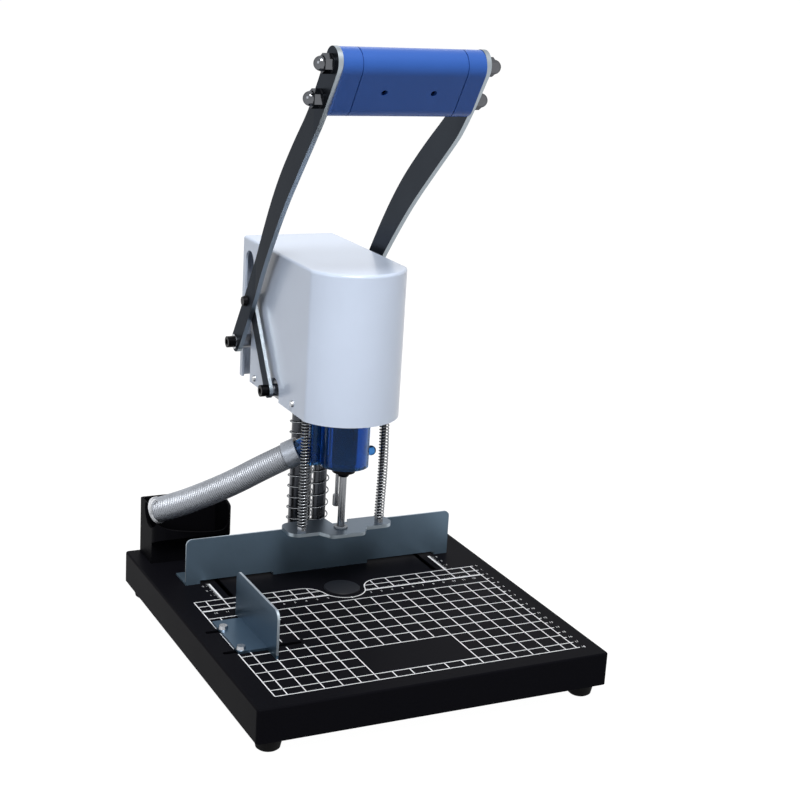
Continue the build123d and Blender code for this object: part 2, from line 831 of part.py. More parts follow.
with BuildPart() as guide_sleeve:
    with BuildSketch(up(guide_sleeve_bottom)):
        with Locations((0, guide_y)):
            Circle(guide_sleeve_diameter / 2)
    extrude(amount=carriage_top - guide_sleeve_bottom)
    with BuildSketch(up(guide_sleeve_bottom)):
        with Locations((0, guide_y)):
            Circle(sleeve_flange_diameter / 2)
    extrude(amount=sleeve_flange_height)
    with BuildSketch(up(guide_sleeve_bottom)):
        with Locations((0, guide_y)):
            Circle(guide_column_diameter / 2 + running_fit)
    extrude(amount=carriage_top - guide_sleeve_bottom, mode=Mode.SUBTRACT)
finish(guide_sleeve, "guide_sleeve")

cover_screw = pan_screw(
    cover_screw_head_diameter, cover_screw_head_height, cover_screw_diameter, 10
)
with BuildPart() as cover_screws:
    with Locations(
        *[
            facing(sign * cover_half_width, *place)
            for sign in (-1, 1)
            for place in cover_screw_places
        ]
    ):
        add(cover_screw)
finish(cover_screws, "cover_screws")

# ---------------------------------------------------------------- motor and spindle
motor_y = drill_y
with BuildPart() as motor:
    with BuildSketch(up(carriage_top)):
        with Locations((0, motor_y)):
            Circle(motor_diameter / 2)
    extrude(amount=motor_length)
    fillet(motor.edges().group_by(Axis.Z)[-1], 3)
    with BuildSketch(up(carriage_top + motor_length)):
        with Locations((0, motor_y)):
            Circle(motor_diameter * 0.3)
    extrude(amount=motor_cap_height)
    with BuildSketch(up(carriage_top)):
        with Locations((0, motor_y)):
            Circle(spindle_diameter / 2 + fit)
    extrude(amount=motor_length / 2, mode=Mode.SUBTRACT)
finish(motor, "motor")

housing_bottom = chamber_bottom
with BuildPart() as spindle_housing:
    with BuildSketch(up(housing_bottom)):
        with Locations((0, drill_y)):
            Circle(spindle_housing_diameter / 2)
            Circle(spindle_diameter / 2 + fit, mode=Mode.SUBTRACT)
    extrude(amount=carriage_top - housing_bottom)
    for height in (housing_bottom, carriage_top - bearing_width):
        with BuildSketch(up(height)):
            with Locations((0, drill_y)):
                Circle(bearing_diameter / 2)
        extrude(amount=bearing_width, mode=Mode.SUBTRACT)
finish(spindle_housing, "spindle_housing")

with BuildPart() as spindle_bearings:
    for height in (housing_bottom, carriage_top - bearing_width):
        with BuildSketch(up(height)):
            with Locations((0, drill_y)):
                Circle(bearing_diameter / 2)
                Circle(spindle_diameter / 2 + running_fit, mode=Mode.SUBTRACT)
        extrude(amount=bearing_width)
finish(spindle_bearings, "spindle_bearings")

spindle_top = carriage_top + motor_length / 2 - 2
with BuildPart() as spindle:
    with BuildSketch(up(collet_cylinder_bottom)):
        with Locations((0, drill_y)):
            Circle(spindle_diameter / 2)
            Circle(bit_diameter / 2, mode=Mode.SUBTRACT)
    extrude(amount=spindle_top - collet_cylinder_bottom)
finish(spindle, "spindle")

with BuildPart() as collet_nut:
    with BuildSketch(Plane.XZ.offset(-drill_y)):
        with BuildLine():
            Polyline(
                (bit_diameter / 2, table_z + collet_bottom),
                (collet_nose_diameter / 2, table_z + collet_bottom),
                (collet_nose_diameter / 2 + 1.5, table_z + collet_bottom + 2.5),
                (collet_diameter / 2, table_z + collet_cylinder_bottom),
                (collet_diameter / 2, table_z + collet_top),
                (spindle_diameter / 2, table_z + collet_top),
                (spindle_diameter / 2, table_z + collet_cylinder_bottom),
                (bit_diameter / 2, table_z + collet_cylinder_bottom),
                close=True,
            )
        make_face()
    revolve(axis=Axis((0, drill_y, 0), (0, 0, 1)))
finish(collet_nut, "collet_nut")

bit_shank_top = collet_cylinder_bottom + 20
with BuildPart() as drill_bit:
    with BuildSketch(Plane.XZ.offset(-drill_y)):
        with BuildLine():
            Polyline(
                (bit_bore / 2, table_z + bit_tip),
                (bit_diameter / 2, table_z + bit_tip + bit_tip_taper),
                (bit_diameter / 2, table_z + bit_shank_top),
                (bit_bore / 2, table_z + bit_shank_top),
                close=True,
            )
        make_face()
    revolve(axis=Axis((0, drill_y, 0), (0, 0, 1)))
finish(drill_bit, "drill_bit")

# ---------------------------------------------------------------- suction chamber
hose_start = point(*hose_route[0])
hose_aim = (point(*hose_route[1]) - hose_start).normalized()
nozzle_root_reach = 19.0
nozzle_overlap = 8.0         # how far the nozzle goes into the hose
nozzle_plane = Plane(hose_start - hose_aim * nozzle_root_reach, z_dir=hose_aim)


def chamber_outline(inset):
    """Plan of the chamber: a round cup round the spindle and a square outlet at its left."""
    with BuildSketch() as outlet:
        with BuildLine():
            Polyline(*[(x, drill_y + dy) for x, dy in outlet_corners], close=True)
        make_face()
        fillet(outlet.vertices(), outlet_corner_radius)
    with BuildSketch() as plan:
        with Locations((0, drill_y)):
            Circle(chamber_radius)
        add(outlet.sketch)
        if inset:
            offset(amount=-inset, mode=Mode.REPLACE)
    return plan.sketch


with BuildPart() as suction_chamber:
    with BuildSketch(up(chamber_bottom)):
        add(chamber_outline(0))
    extrude(amount=carriage_bottom - chamber_bottom)
    with BuildSketch(nozzle_plane):
        Circle(nozzle_diameter / 2)
    extrude(amount=nozzle_root_reach + nozzle_overlap)
    with BuildSketch(up(chamber_bottom + chamber_wall)):
        add(chamber_outline(chamber_wall))
    extrude(amount=carriage_bottom - chamber_bottom - chamber_wall, mode=Mode.SUBTRACT)
    with BuildSketch(nozzle_plane):
        Circle(nozzle_bore / 2)
    extrude(amount=nozzle_root_reach + nozzle_overlap, mode=Mode.SUBTRACT)
    with BuildSketch(up(chamber_bottom)):
        with Locations((0, drill_y)):
            Circle(spindle_housing_diameter / 2)
        with Locations((stop_rod_x, drill_y + stop_rod_dy)):
            Circle(stop_rod_diameter / 2)
    extrude(amount=chamber_wall, mode=Mode.SUBTRACT)
    with Locations((knob_dx, drill_y, table_z + knob_height)):
        Sphere(knob_radius)
    with BuildSketch(Plane.YZ.offset(chamber_radius - chamber_wall / 2)):
        with Locations((drill_y, table_z + knob_height)):
            Circle(knob_radius * 0.6)
    extrude(amount=knob_dx - chamber_radius)
finish(suction_chamber, "suction_chamber")

with BuildPart() as stop_rod:
    with BuildSketch(up(stop_foot_bottom)):
        with Locations((stop_rod_x, drill_y + stop_rod_dy)):
            Circle(stop_rod_diameter / 2)
    extrude(amount=chamber_bottom + chamber_wall - stop_foot_bottom)
    with BuildSketch(up(stop_foot_bottom)):
        with Locations((stop_rod_x, drill_y + stop_rod_dy)):
            Circle(stop_foot_diameter / 2)
    extrude(amount=stop_foot_height)
    chamfer(stop_rod.edges().group_by(Axis.Z)[0], 0.8)
finish(stop_rod, "stop_rod")

switch_size = (20.0, 10.0, 11.0)
with BuildPart() as micro_switch:
    with Locations((-22, main_y - 18, table_z + carriage_top)):
        Box(*switch_size, align=(Align.CENTER, Align.CENTER, Align.MIN))
    with Locations((-17, main_y - 18, table_z + carriage_top)):
        Box(3, 4, switch_size[2] + 1.5, align=(Align.CENTER, Align.CENTER, Align.MIN))
finish(micro_switch, "micro_switch")

# ---------------------------------------------------------------- press plate
nose = plate_nose_half_width
lobe_back = drill_y + plate_lobe_front_dy + plate_lobe_width
lobe_front = drill_y + plate_lobe_front_dy
left_back = drill_y + plate_left_back_dy
with BuildPart() as press_plate:
    with BuildSketch(up(plate_bottom)) as plate_plan:
        with BuildLine():
            Polyline(
                (-plate_half_length, lobe_front),
                (-nose - 5, lobe_front),
                (-nose + 2, drill_y + plate_nose_front_dy),
                (nose - 2, drill_y + plate_nose_front_dy),
                (nose + 5, lobe_front),
                (plate_half_length, lobe_front),
                (plate_half_length, lobe_back),
                (plate_notch_right_x, lobe_back),
                (plate_notch_right_x - 2, drill_y + plate_notch_front_dy),
                (plate_notch_left_x + 2, drill_y + plate_notch_front_dy),
                (plate_notch_left_x, left_back),
                (-plate_half_length, left_back),
                close=True,
            )
        make_face()
        fillet(plate_plan.vertices().group_by(Axis.X)[0], 10)
        fillet(plate_plan.vertices().group_by(Axis.X)[-1], 9)
        fillet(plate_plan.vertices().group_by(Axis.Y)[0], 6)
        with Locations((-rod_x, drill_y), (rod_x, drill_y)):
            Circle(rod_diameter / 2, mode=Mode.SUBTRACT)
        with Locations((0, drill_y)):
            Circle(bit_guide_diameter / 2 - 1.5, mode=Mode.SUBTRACT)
    extrude(amount=plate_thickness)
finish(press_plate, "press_plate")

guide_bore = bit_diameter / 2 + 0.4
with BuildPart() as bit_guide:
    with BuildSketch(up(plate_bottom)):
        with Locations((0, drill_y)):
            Circle(bit_guide_diameter / 2 - 1.5)
    extrude(amount=plate_thickness)
    with BuildSketch(up(plate_bottom + plate_thickness)):
        with Locations((0, drill_y)):
            Circle(bit_guide_diameter / 2)
    extrude(amount=bit_guide_rise)
    with BuildSketch(up(plate_bottom)):
        with Locations((0, drill_y)):
            Circle(guide_bore)
    extrude(amount=plate_thickness + bit_guide_rise, mode=Mode.SUBTRACT)
finish(bit_guide, "bit_guide")

plate_top = plate_bottom + plate_thickness
with BuildPart() as plate_rods:
    with BuildSketch(up(plate_bottom)):
        with Locations((-rod_x, drill_y), (rod_x, drill_y)):
            Circle(rod_diameter / 2)
    extrude(amount=rod_top - plate_bottom)
finish(plate_rods, "plate_rods")

rod_nut = hex_nut(rod_nut_width, rod_nut_height, rod_diameter)
with BuildPart() as rod_nuts:
    with Locations(
        *[
            (x, drill_y, table_z + height)
            for x in (-rod_x, rod_x)
            for height in (plate_top, carriage_top + fit)
        ]
    ):
        add(rod_nut)
finish(rod_nuts, "rod_nuts")


# ---------------------------------------------------------------- springs
def coil_points(radius, turns, bottom, top, closed):
    """Stations and tangents of a coil at every half turn, its end turns wound closer."""
    steps = 2 * turns
    length = top - bottom
    pitch = (length - 2 * closed) / (turns - 2)

    def rise(turn):
        if turn <= 1:
            return closed * turn
        if turn >= turns - 1:
            return length - closed * (turns - turn)
        return closed + pitch * (turn - 1)

    def slope(turn):
        step = 0.05
        low, high = max(turn - step, 0), min(turn + step, turns)
        return (rise(high) - rise(low)) / (high - low) / (2 * pi)

    stations = []
    for step in range(steps + 1):
        turn = step / 2
        angle = 2 * pi * turn
        place = Vector(radius * cos(angle), radius * sin(angle), bottom + rise(turn))
        tangent = Vector(-radius * sin(angle), radius * cos(angle), slope(turn)).normalized()
        stations.append((place, tangent))
    return stations


def biarc(start, end):
    """Two tangent arcs from one station to the next."""
    (p0, t0), (p1, t1) = start, end
    gap = p1 - p0
    both = t0 + t1
    bend = 2 * (1 - t0.dot(t1))
    reach = (-gap.dot(both) + sqrt(gap.dot(both) ** 2 + bend * gap.dot(gap))) / bend
    corner_a = p0 + t0 * reach
    corner_b = p1 - t1 * reach
    middle = (corner_a + corner_b) * 0.5
    TangentArc(p0, middle, tangent=t0)
    TangentArc(middle, p1, tangent=(corner_b - corner_a).normalized())


def spring(centres, wire, radius, turns, bottom, top, sides, label):
    """One spring on each centre, each an unbroken tube with a section of a few sides."""
    closed = wire + 0.8
    low = table_z + bottom + wire / 2 + 0.05
    high = table_z + top - wire / 2 - 0.05
    stations = coil_points(radius, turns, low, high, closed)
    free_gap = min(
        stations[i + 2][0].Z - stations[i][0].Z for i in range(len(stations) - 2)
    ) - wire
    print(f"{label}: least gap between turns {free_gap:.2f} mm")
    assert free_gap > coil_gap_min
    with BuildPart() as coil:
        with BuildLine() as path:
            for start, end in zip(stations, stations[1:]):
                biarc(start, end)
        with BuildSketch(Plane(path.line @ 0, z_dir=path.line % 0)):
            RegularPolygon(wire / 2, sides)
        sweep(clean=False)
    copies = [coil.part.moved(Location(centre)) for centre in centres]
    parts.append(Compound(children=copies, label=label))


spring(
    [(0, main_y, 0)],
    main_spring_wire,
    main_spring_mean_radius,
    main_spring_turns,
    spring_seat_thickness,
    main_bush_bottom,
    4,
    "main_spring",
)
spring(
    [(0, guide_y, 0)],
    guide_spring_wire,
    guide_spring_mean_radius,
    guide_spring_turns,
    spring_seat_thickness,
    guide_sleeve_bottom,
    4,
    "guide_spring",
)
spring(
    [(-rod_x, drill_y, 0), (rod_x, drill_y, 0)],
    press_spring_wire,
    press_spring_mean_radius,
    press_spring_turns,
    plate_top + rod_nut_height,
    carriage_bottom,
    3,
    "press_springs",
)

# ---------------------------------------------------------------- lever
arm_line = [Vector(*at(dy, height)) for dy, height, half in arm_stations]
arm_foot_run = (arm_line[1] - arm_line[0]).normalized()
arm_end_run = (arm_line[-1] - arm_line[-2]).normalized()


def arm_edge(sign):
    """One long edge of the arm: the centre line moved out by the half width."""
    edge = []
    for i, (place, station) in enumerate(zip(arm_line, arm_stations)):
        before = arm_line[max(i - 1, 0)]
        after = arm_line[min(i + 1, len(arm_line) - 1)]
        run = (after - before).normalized()
        edge.append(place + Vector(-run.Y, run.X) * (sign * station[2]))
    return edge


def arm_profile():
    """Side view of a lever arm: a bar that bends and tapers smoothly, with round ends."""
    rear = arm_edge(1)
    front = arm_edge(-1)
    runs = (arm_foot_run, arm_end_run)
    with BuildSketch() as outline:
        with BuildLine():
            Spline(*rear, tangents=runs)
            ThreePointArc(rear[-1], arm_line[-1] + arm_end_run * arm_end_radius, front[-1])
            Spline(*front, tangents=runs)
            ThreePointArc(front[0], arm_line[0] - arm_foot_run * arm_foot_radius, rear[0])
        make_face()
    return outline.sketch


def lever_arm(sign, label):
    """A flat bar, straight at the fulcrum and at the grip, splayed between them."""
    splay_back = drill_y + arm_splay_back_dy
    splay_front = drill_y + arm_splay_front_dy
    far_back = drill_y + fulcrum[0] + 2 * arm_foot_radius
    far_front = drill_y + arm_end[0] - 3 * arm_end_radius
    foot_in = arm_foot_x - arm_thickness
    grip_in = arm_grip_x - arm_thickness
    with BuildPart() as arm:
        with BuildSketch(side(sign * (foot_in - 2))):
            add(arm_profile())
        extrude(amount=sign * (arm_grip_x - foot_in + 4))
        with BuildSketch(up(0)):
            with BuildLine():
                Polyline(
                    (sign * foot_in, far_back),
                    (sign * foot_in, splay_back),
                    (sign * grip_in, splay_front),
                    (sign * grip_in, far_front),
                    (sign * arm_grip_x, far_front),
                    (sign * arm_grip_x, splay_front),
                    (sign * arm_foot_x, splay_back),
                    (sign * arm_foot_x, far_back),
                    close=True,
                )
            make_face()
        extrude(amount=2 * arm_end[1], mode=Mode.INTERSECT)
        with BuildSketch(side(sign * foot_in)):
            with Locations(at(*fulcrum)):
                Circle(pin_diameter / 2 + running_fit)
            with Locations(at(*link_pin)):
                Circle(pin_diameter / 2)
            with Locations(*tie_rod_places):
                Circle(tie_rod_diameter / 2)
        extrude(amount=sign * (arm_grip_x - foot_in), mode=Mode.SUBTRACT)
    finish(arm, label)


grip_y, grip_z = at(*grip_centre)
grip_run = (-sin(radians(grip_tilt)), cos(radians(grip_tilt)))
tie_rod_places = [
    (grip_y + s * grip_run[0] * tie_rod_spacing / 2, grip_z + s * grip_run[1] * tie_rod_spacing / 2)
    for s in (-1, 1)
]
lever_arm(-1, "lever_arm_left")
lever_arm(1, "lever_arm_right")

grip_inner_x = arm_grip_x - arm_thickness
grip_body_half = grip_inner_x - grip_cap_length


def grip_section(inset):
    """The grip's stadium section, tilted forward, with its two tie rod holes."""
    with Locations((grip_y, grip_z)):
        SlotOverall(
            grip_height - 2 * inset, grip_depth - 2 * inset, rotation=90 + grip_tilt
        )
    with Locations(*tie_rod_places):
        Circle(tie_rod_diameter / 2, mode=Mode.SUBTRACT)


with BuildPart() as grip:
    with BuildSketch(side(-grip_body_half)):
        grip_section(0)
    extrude(amount=2 * grip_body_half)
    front_plane = Plane(
        origin=(0, grip_y, grip_z), x_dir=(1, 0, 0), z_dir=(0, -grip_run[1], grip_run[0])
    )
    with BuildSketch(front_plane.offset(grip_depth / 2)):
        with Locations((-grip_screw_x, 0), (grip_screw_x, 0)):
            Circle(grip_screw_diameter / 2)
    extrude(amount=-grip_depth / 4, mode=Mode.SUBTRACT)
finish(grip, "grip")

with BuildPart() as grip_caps:
    for sign in (-1, 1):
        with BuildSketch(side(sign * grip_body_half)):
            grip_section(grip_joint_depth)
        extrude(amount=sign * grip_joint_width)
        with BuildSketch(side(sign * (grip_body_half + grip_joint_width))):
            grip_section(0)
        extrude(amount=sign * (grip_cap_length - grip_joint_width))
finish(grip_caps, "grip_caps")

with BuildPart() as grip_screws:
    with BuildSketch(front_plane.offset(grip_depth / 4)):
        with Locations((-grip_screw_x, 0), (grip_screw_x, 0)):
            Circle(grip_screw_diameter / 2)
    extrude(amount=3)
    with BuildSketch(front_plane.offset(grip_depth / 4 + 3)):
        with Locations((-grip_screw_x, 0), (grip_screw_x, 0)):
            RegularPolygon(1.3, 6, major_radius=False)
    extrude(amount=-1.5, mode=Mode.SUBTRACT)
finish(grip_screws, "grip_screws")

tie_rod_end = arm_grip_x + washer_thickness + acorn_hex_height
with BuildPart() as tie_rods:
    with BuildSketch(side(-tie_rod_end)):
        with Locations(*tie_rod_places):
            Circle(tie_rod_diameter / 2)
    extrude(amount=2 * tie_rod_end)
finish(tie_rods, "tie_rods")

with BuildPart() as acorn:
    with BuildSketch():
        RegularPolygon(acorn_width / 2, 6, major_radius=False)
    extrude(amount=acorn_hex_height)
    with BuildSketch(Plane.XZ):
        with BuildLine():
            dome_start = (acorn_dome_radius, acorn_dome_height - acorn_dome_radius)
            Polyline((0, acorn_hex_height), (acorn_dome_radius, acorn_hex_height), dome_start)
            RadiusArc(dome_start, (0, acorn_dome_height), -acorn_dome_radius)
            Line((0, acorn_dome_height), (0, acorn_hex_height))
        make_face()
    revolve(axis=Axis.Z)
    Cylinder(
        tie_rod_diameter / 2,
        acorn_hex_height,
        align=(Align.CENTER, Align.CENTER, Align.MIN),
        mode=Mode.SUBTRACT,
    )
acorn_face_x = arm_grip_x + washer_thickness
with BuildPart() as acorn_nuts:
    with Locations(
        *[
            Location((sign * acorn_face_x, y, z), (0, sign * 90, 0))
            for sign in (-1, 1)
            for y, z in tie_rod_places
        ]
    ):
        add(acorn.part)
finish(acorn_nuts, "acorn_nuts")

with BuildPart() as grip_washers:
    for sign in (-1, 1):
        with BuildSketch(side(sign * arm_grip_x)):
            with Locations(*tie_rod_places):
                Circle(washer_diameter / 2 + 1)
                Circle(tie_rod_diameter / 2, mode=Mode.SUBTRACT)
        extrude(amount=sign * washer_thickness)
finish(grip_washers, "grip_washers")

# ---------------------------------------------------------------- pivots and links
link_outer_x = arm_foot_x - arm_thickness - link_gap
link_inner_x = link_outer_x - link_thickness
fulcrum_screw = socket_screw(
    socket_head_diameter,
    socket_head_height,
    pin_diameter,
    washer_thickness + fit + arm_foot_x - journal_end_x + 15,
    socket_width,
)
fulcrum_face_x = arm_foot_x + fit + washer_thickness
with BuildPart() as fulcrum_screws:
    with Locations(*[facing(sign * fulcrum_face_x, *fulcrum) for sign in (-1, 1)]):
        add(fulcrum_screw)
finish(fulcrum_screws, "fulcrum_screws")

with BuildPart() as fulcrum_washers:
    for sign in (-1, 1):
        with BuildSketch(side(sign * (arm_foot_x + fit))):
            with Locations(at(*fulcrum)):
                Circle(washer_diameter / 2)
                Circle(pin_diameter / 2, mode=Mode.SUBTRACT)
        extrude(amount=sign * washer_thickness)
finish(fulcrum_washers, "fulcrum_washers")


link_span = hypot(link_pin[0] - link_foot[0], link_pin[1] - link_foot[1])
link_angle = degrees(atan2(link_pin[1] - link_foot[1], link_pin[0] - link_foot[0]))
link_middle = at((link_pin[0] + link_foot[0]) / 2, (link_pin[1] + link_foot[1]) / 2)
for link_sign, link_label in ((-1, "link_bar_left"), (1, "link_bar_right")):
    with BuildPart() as link:
        with BuildSketch(side(link_sign * link_inner_x)):
            with Locations(link_middle):
                SlotCenterToCenter(link_span, link_width, rotation=link_angle)
            with Locations(at(*link_pin)):
                Circle(pin_diameter / 2 + running_fit, mode=Mode.SUBTRACT)
            with Locations(at(*link_foot)):
                Circle(pin_diameter / 2, mode=Mode.SUBTRACT)
        extrude(amount=link_sign * link_thickness)
    finish(link, link_label)

with BuildPart() as link_pins:
    for sign in (-1, 1):
        with BuildSketch(side(sign * link_inner_x)):
            with Locations(at(*link_pin)):
                Circle(pin_diameter / 2)
        extrude(amount=sign * (arm_foot_x - link_inner_x))
        with BuildSketch(side(sign * arm_foot_x)):
            with Locations(at(*link_pin)):
                Circle(pin_head_diameter / 2)
        extrude(amount=sign * pin_head_height, taper=20)
finish(link_pins, "link_pins")

foot_screw_part = socket_screw(
    socket_head_diameter, socket_head_height, pin_diameter, link_thickness, socket_width
)
with BuildPart() as link_screws:
    with Locations(*[facing(sign * link_outer_x, *link_foot) for sign in (-1, 1)]):
        add(foot_screw_part)
finish(link_screws, "link_screws")

stud_end_x = link_inner_x - fit
with BuildPart() as link_studs:
    for sign in (-1, 1):
        with BuildSketch(side(sign * (carriage_half_width))):
            with Locations((link_foot_y, link_foot_z)):
                Circle(5.5)
        extrude(amount=sign * (stud_end_x - carriage_half_width))
        with BuildSketch(side(sign * (carriage_half_width))):
            with Locations((link_foot_y, link_foot_z)):
                Circle(pin_diameter / 2)
        extrude(amount=-sign * 12)
finish(link_studs, "link_studs")


# ---------------------------------------------------------------- hose
def tube_path(points):
    """Straight runs joined by the widest arcs that the two runs of each corner allow."""
    radii = []
    for before, corner, after in zip(points, points[1:], points[2:]):
        into, out = corner - before, after - corner
        turn = radians(into.get_angle(out))
        radii.append(0.45 * min(into.length, out.length) / tan(turn / 2))
    print("hose radii:", ", ".join(f"{r:.0f}" for r in radii))
    FilletPolyline(*points, radius=radii)


hose_points = [point(*place) for place in hose_route]
with BuildPart() as hose:
    with BuildLine() as hose_line:
        tube_path(hose_points)
    with BuildSketch(Plane(hose_line.line @ 0, z_dir=hose_line.line % 0)):
        Circle(hose_diameter / 2)
        Circle(hose_bore / 2, mode=Mode.SUBTRACT)
    sweep()
finish(hose, "hose")
print(f"hose length {hose_line.wires()[0].length:.0f} mm")

with BuildPart() as hose_cuff:
    with BuildSketch(Plane(hose_line.line @ 0, z_dir=hose_line.line % 0)):
        Circle(hose_diameter / 2 + cuff_gap + cuff_thickness)
        Circle(hose_diameter / 2 + cuff_gap, mode=Mode.SUBTRACT)
    extrude(amount=cuff_length)
finish(hose_cuff, "hose_cuff")

tie_place = Plane(
    hose_line.line @ 1 - (hose_line.line % 1) * (2 * tie_width), z_dir=hose_line.line % 1
)
with BuildPart() as cable_tie:
    with BuildSketch(tie_place):
        Circle(hose_diameter / 2 + tie_thickness)
        Circle(hose_diameter / 2, mode=Mode.SUBTRACT)
    extrude(amount=tie_width)
finish(cable_tie, "cable_tie")

# ---------------------------------------------------------------- export
os.makedirs("parts", exist_ok=True)
for piece in parts:
    export_step(piece, f"parts/{piece.label}.step")
print(len(parts), "pieces")
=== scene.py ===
"""Looks of a hand-lever paper drill: finishes, table print, springs, hose and studio.

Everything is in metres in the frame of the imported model: X to the right along the fence, Y to
the back, Z up, the floor at Z = 0.  Sizes below are in millimetres and go through MM.
"""
from __future__ import annotations

import logging
import math
from dataclasses import dataclass
from enum import Enum
from typing import Callable, Iterable, Sequence

import bmesh
import bpy
from bmesh.types import BMesh, BMVert
from bpy.types import ID, Material, Mesh, Node, NodeSocket, NodeTree, Object
from mathutils import Euler, Matrix, Vector

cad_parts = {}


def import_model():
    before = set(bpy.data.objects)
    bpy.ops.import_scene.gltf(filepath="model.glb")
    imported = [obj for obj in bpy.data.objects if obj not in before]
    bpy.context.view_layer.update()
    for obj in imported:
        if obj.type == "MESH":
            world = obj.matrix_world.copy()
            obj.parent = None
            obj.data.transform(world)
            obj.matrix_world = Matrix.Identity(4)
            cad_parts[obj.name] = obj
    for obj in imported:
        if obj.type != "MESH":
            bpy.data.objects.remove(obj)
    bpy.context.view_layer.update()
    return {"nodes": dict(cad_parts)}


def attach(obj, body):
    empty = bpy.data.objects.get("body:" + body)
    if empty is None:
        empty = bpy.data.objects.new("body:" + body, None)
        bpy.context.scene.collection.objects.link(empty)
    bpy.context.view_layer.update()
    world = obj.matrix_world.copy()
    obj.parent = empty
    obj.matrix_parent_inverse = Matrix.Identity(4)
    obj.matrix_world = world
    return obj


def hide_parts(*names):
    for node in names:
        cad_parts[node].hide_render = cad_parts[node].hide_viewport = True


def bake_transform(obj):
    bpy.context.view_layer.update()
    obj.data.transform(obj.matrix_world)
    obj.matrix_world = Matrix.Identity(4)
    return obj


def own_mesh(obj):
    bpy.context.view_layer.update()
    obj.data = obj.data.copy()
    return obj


MM = 0.001
CM = 10
DRILL_Y = 28.3
TABLE_Z = 39.0
# FLANGE_Z: above this height the fence and gauge get their painted edge highlight.
FLANGE_Z = TABLE_Z + 3  # clear of the feet of fence and gauge
log = logging.getLogger("paper_drill")

Triple = tuple[float, float, float]
Colour = Triple


def linear(text: str) -> Colour:
    """Turn a screen colour into linear light.

    Args:
        text: Six hexadecimal digits, such as "c8d4e8".

    Returns:
        Red, green and blue from 0 to 1.
    """
    channels = [int(text[i : i + 2], 16) / 255 for i in (0, 2, 4)]
    return tuple(c / 12.92 if c <= 0.04045 else ((c + 0.055) / 1.055) ** 2.4 for c in channels)


def place(x: float, dy: float, height: float) -> Vector:
    """Turn millimetres from the drill axis and the table top into metres in the frame."""
    return Vector((x, DRILL_Y + dy, TABLE_Z + height)) * MM


# -------- shader tools
class Sock:
    """A shader output on which arithmetic adds Math nodes."""

    def __init__(self, tree: NodeTree, socket: NodeSocket) -> None:
        """Wrap one output socket of a tree."""
        self.tree = tree
        self.socket = socket

    def math(self, operation: str, *others: Sock | float, first: float | None = None) -> Sock:
        """Add a Math node.

        Args:
            operation: The node's operation.
            others: The values after this one.
            first: A number that takes the first input, this socket taking the second.

        Returns:
            The node's output.
        """
        node = self.tree.nodes.new("ShaderNodeMath")
        node.operation = operation
        values = [self, *others] if first is None else [first, self]
        for slot_in, value in zip(node.inputs, values):
            if isinstance(value, Sock):
                self.tree.links.new(value.socket, slot_in)
            else:
                slot_in.default_value = value
        return Sock(self.tree, node.outputs[0])

    def __add__(self, other: Sock | float) -> Sock:
        """Sum."""
        return self.math("ADD", other)

    __radd__ = __add__

    def __sub__(self, other: Sock | float) -> Sock:
        """Difference."""
        return self.math("SUBTRACT", other)

    def __rsub__(self, other: float) -> Sock:
        """Difference from a number."""
        return self.math("SUBTRACT", first=other)

    def __mul__(self, other: Sock | float) -> Sock:
        """Product."""
        return self.math("MULTIPLY", other)

    __rmul__ = __mul__

    def __gt__(self, other: Sock | float) -> Sock:
        """One where this is the greater."""
        return self.math("GREATER_THAN", other)

    def __lt__(self, other: Sock | float) -> Sock:
        """One where this is the less."""
        return self.math("LESS_THAN", other)

    def size(self) -> Sock:
        """The value without its sign."""
        return self.math("ABSOLUTE")

    def clamp(self) -> Sock:
        """The value held between 0 and 1."""
        node = self.tree.nodes.new("ShaderNodeClamp")
        self.tree.links.new(self.socket, node.inputs[0])
        return Sock(self.tree, node.outputs[0])


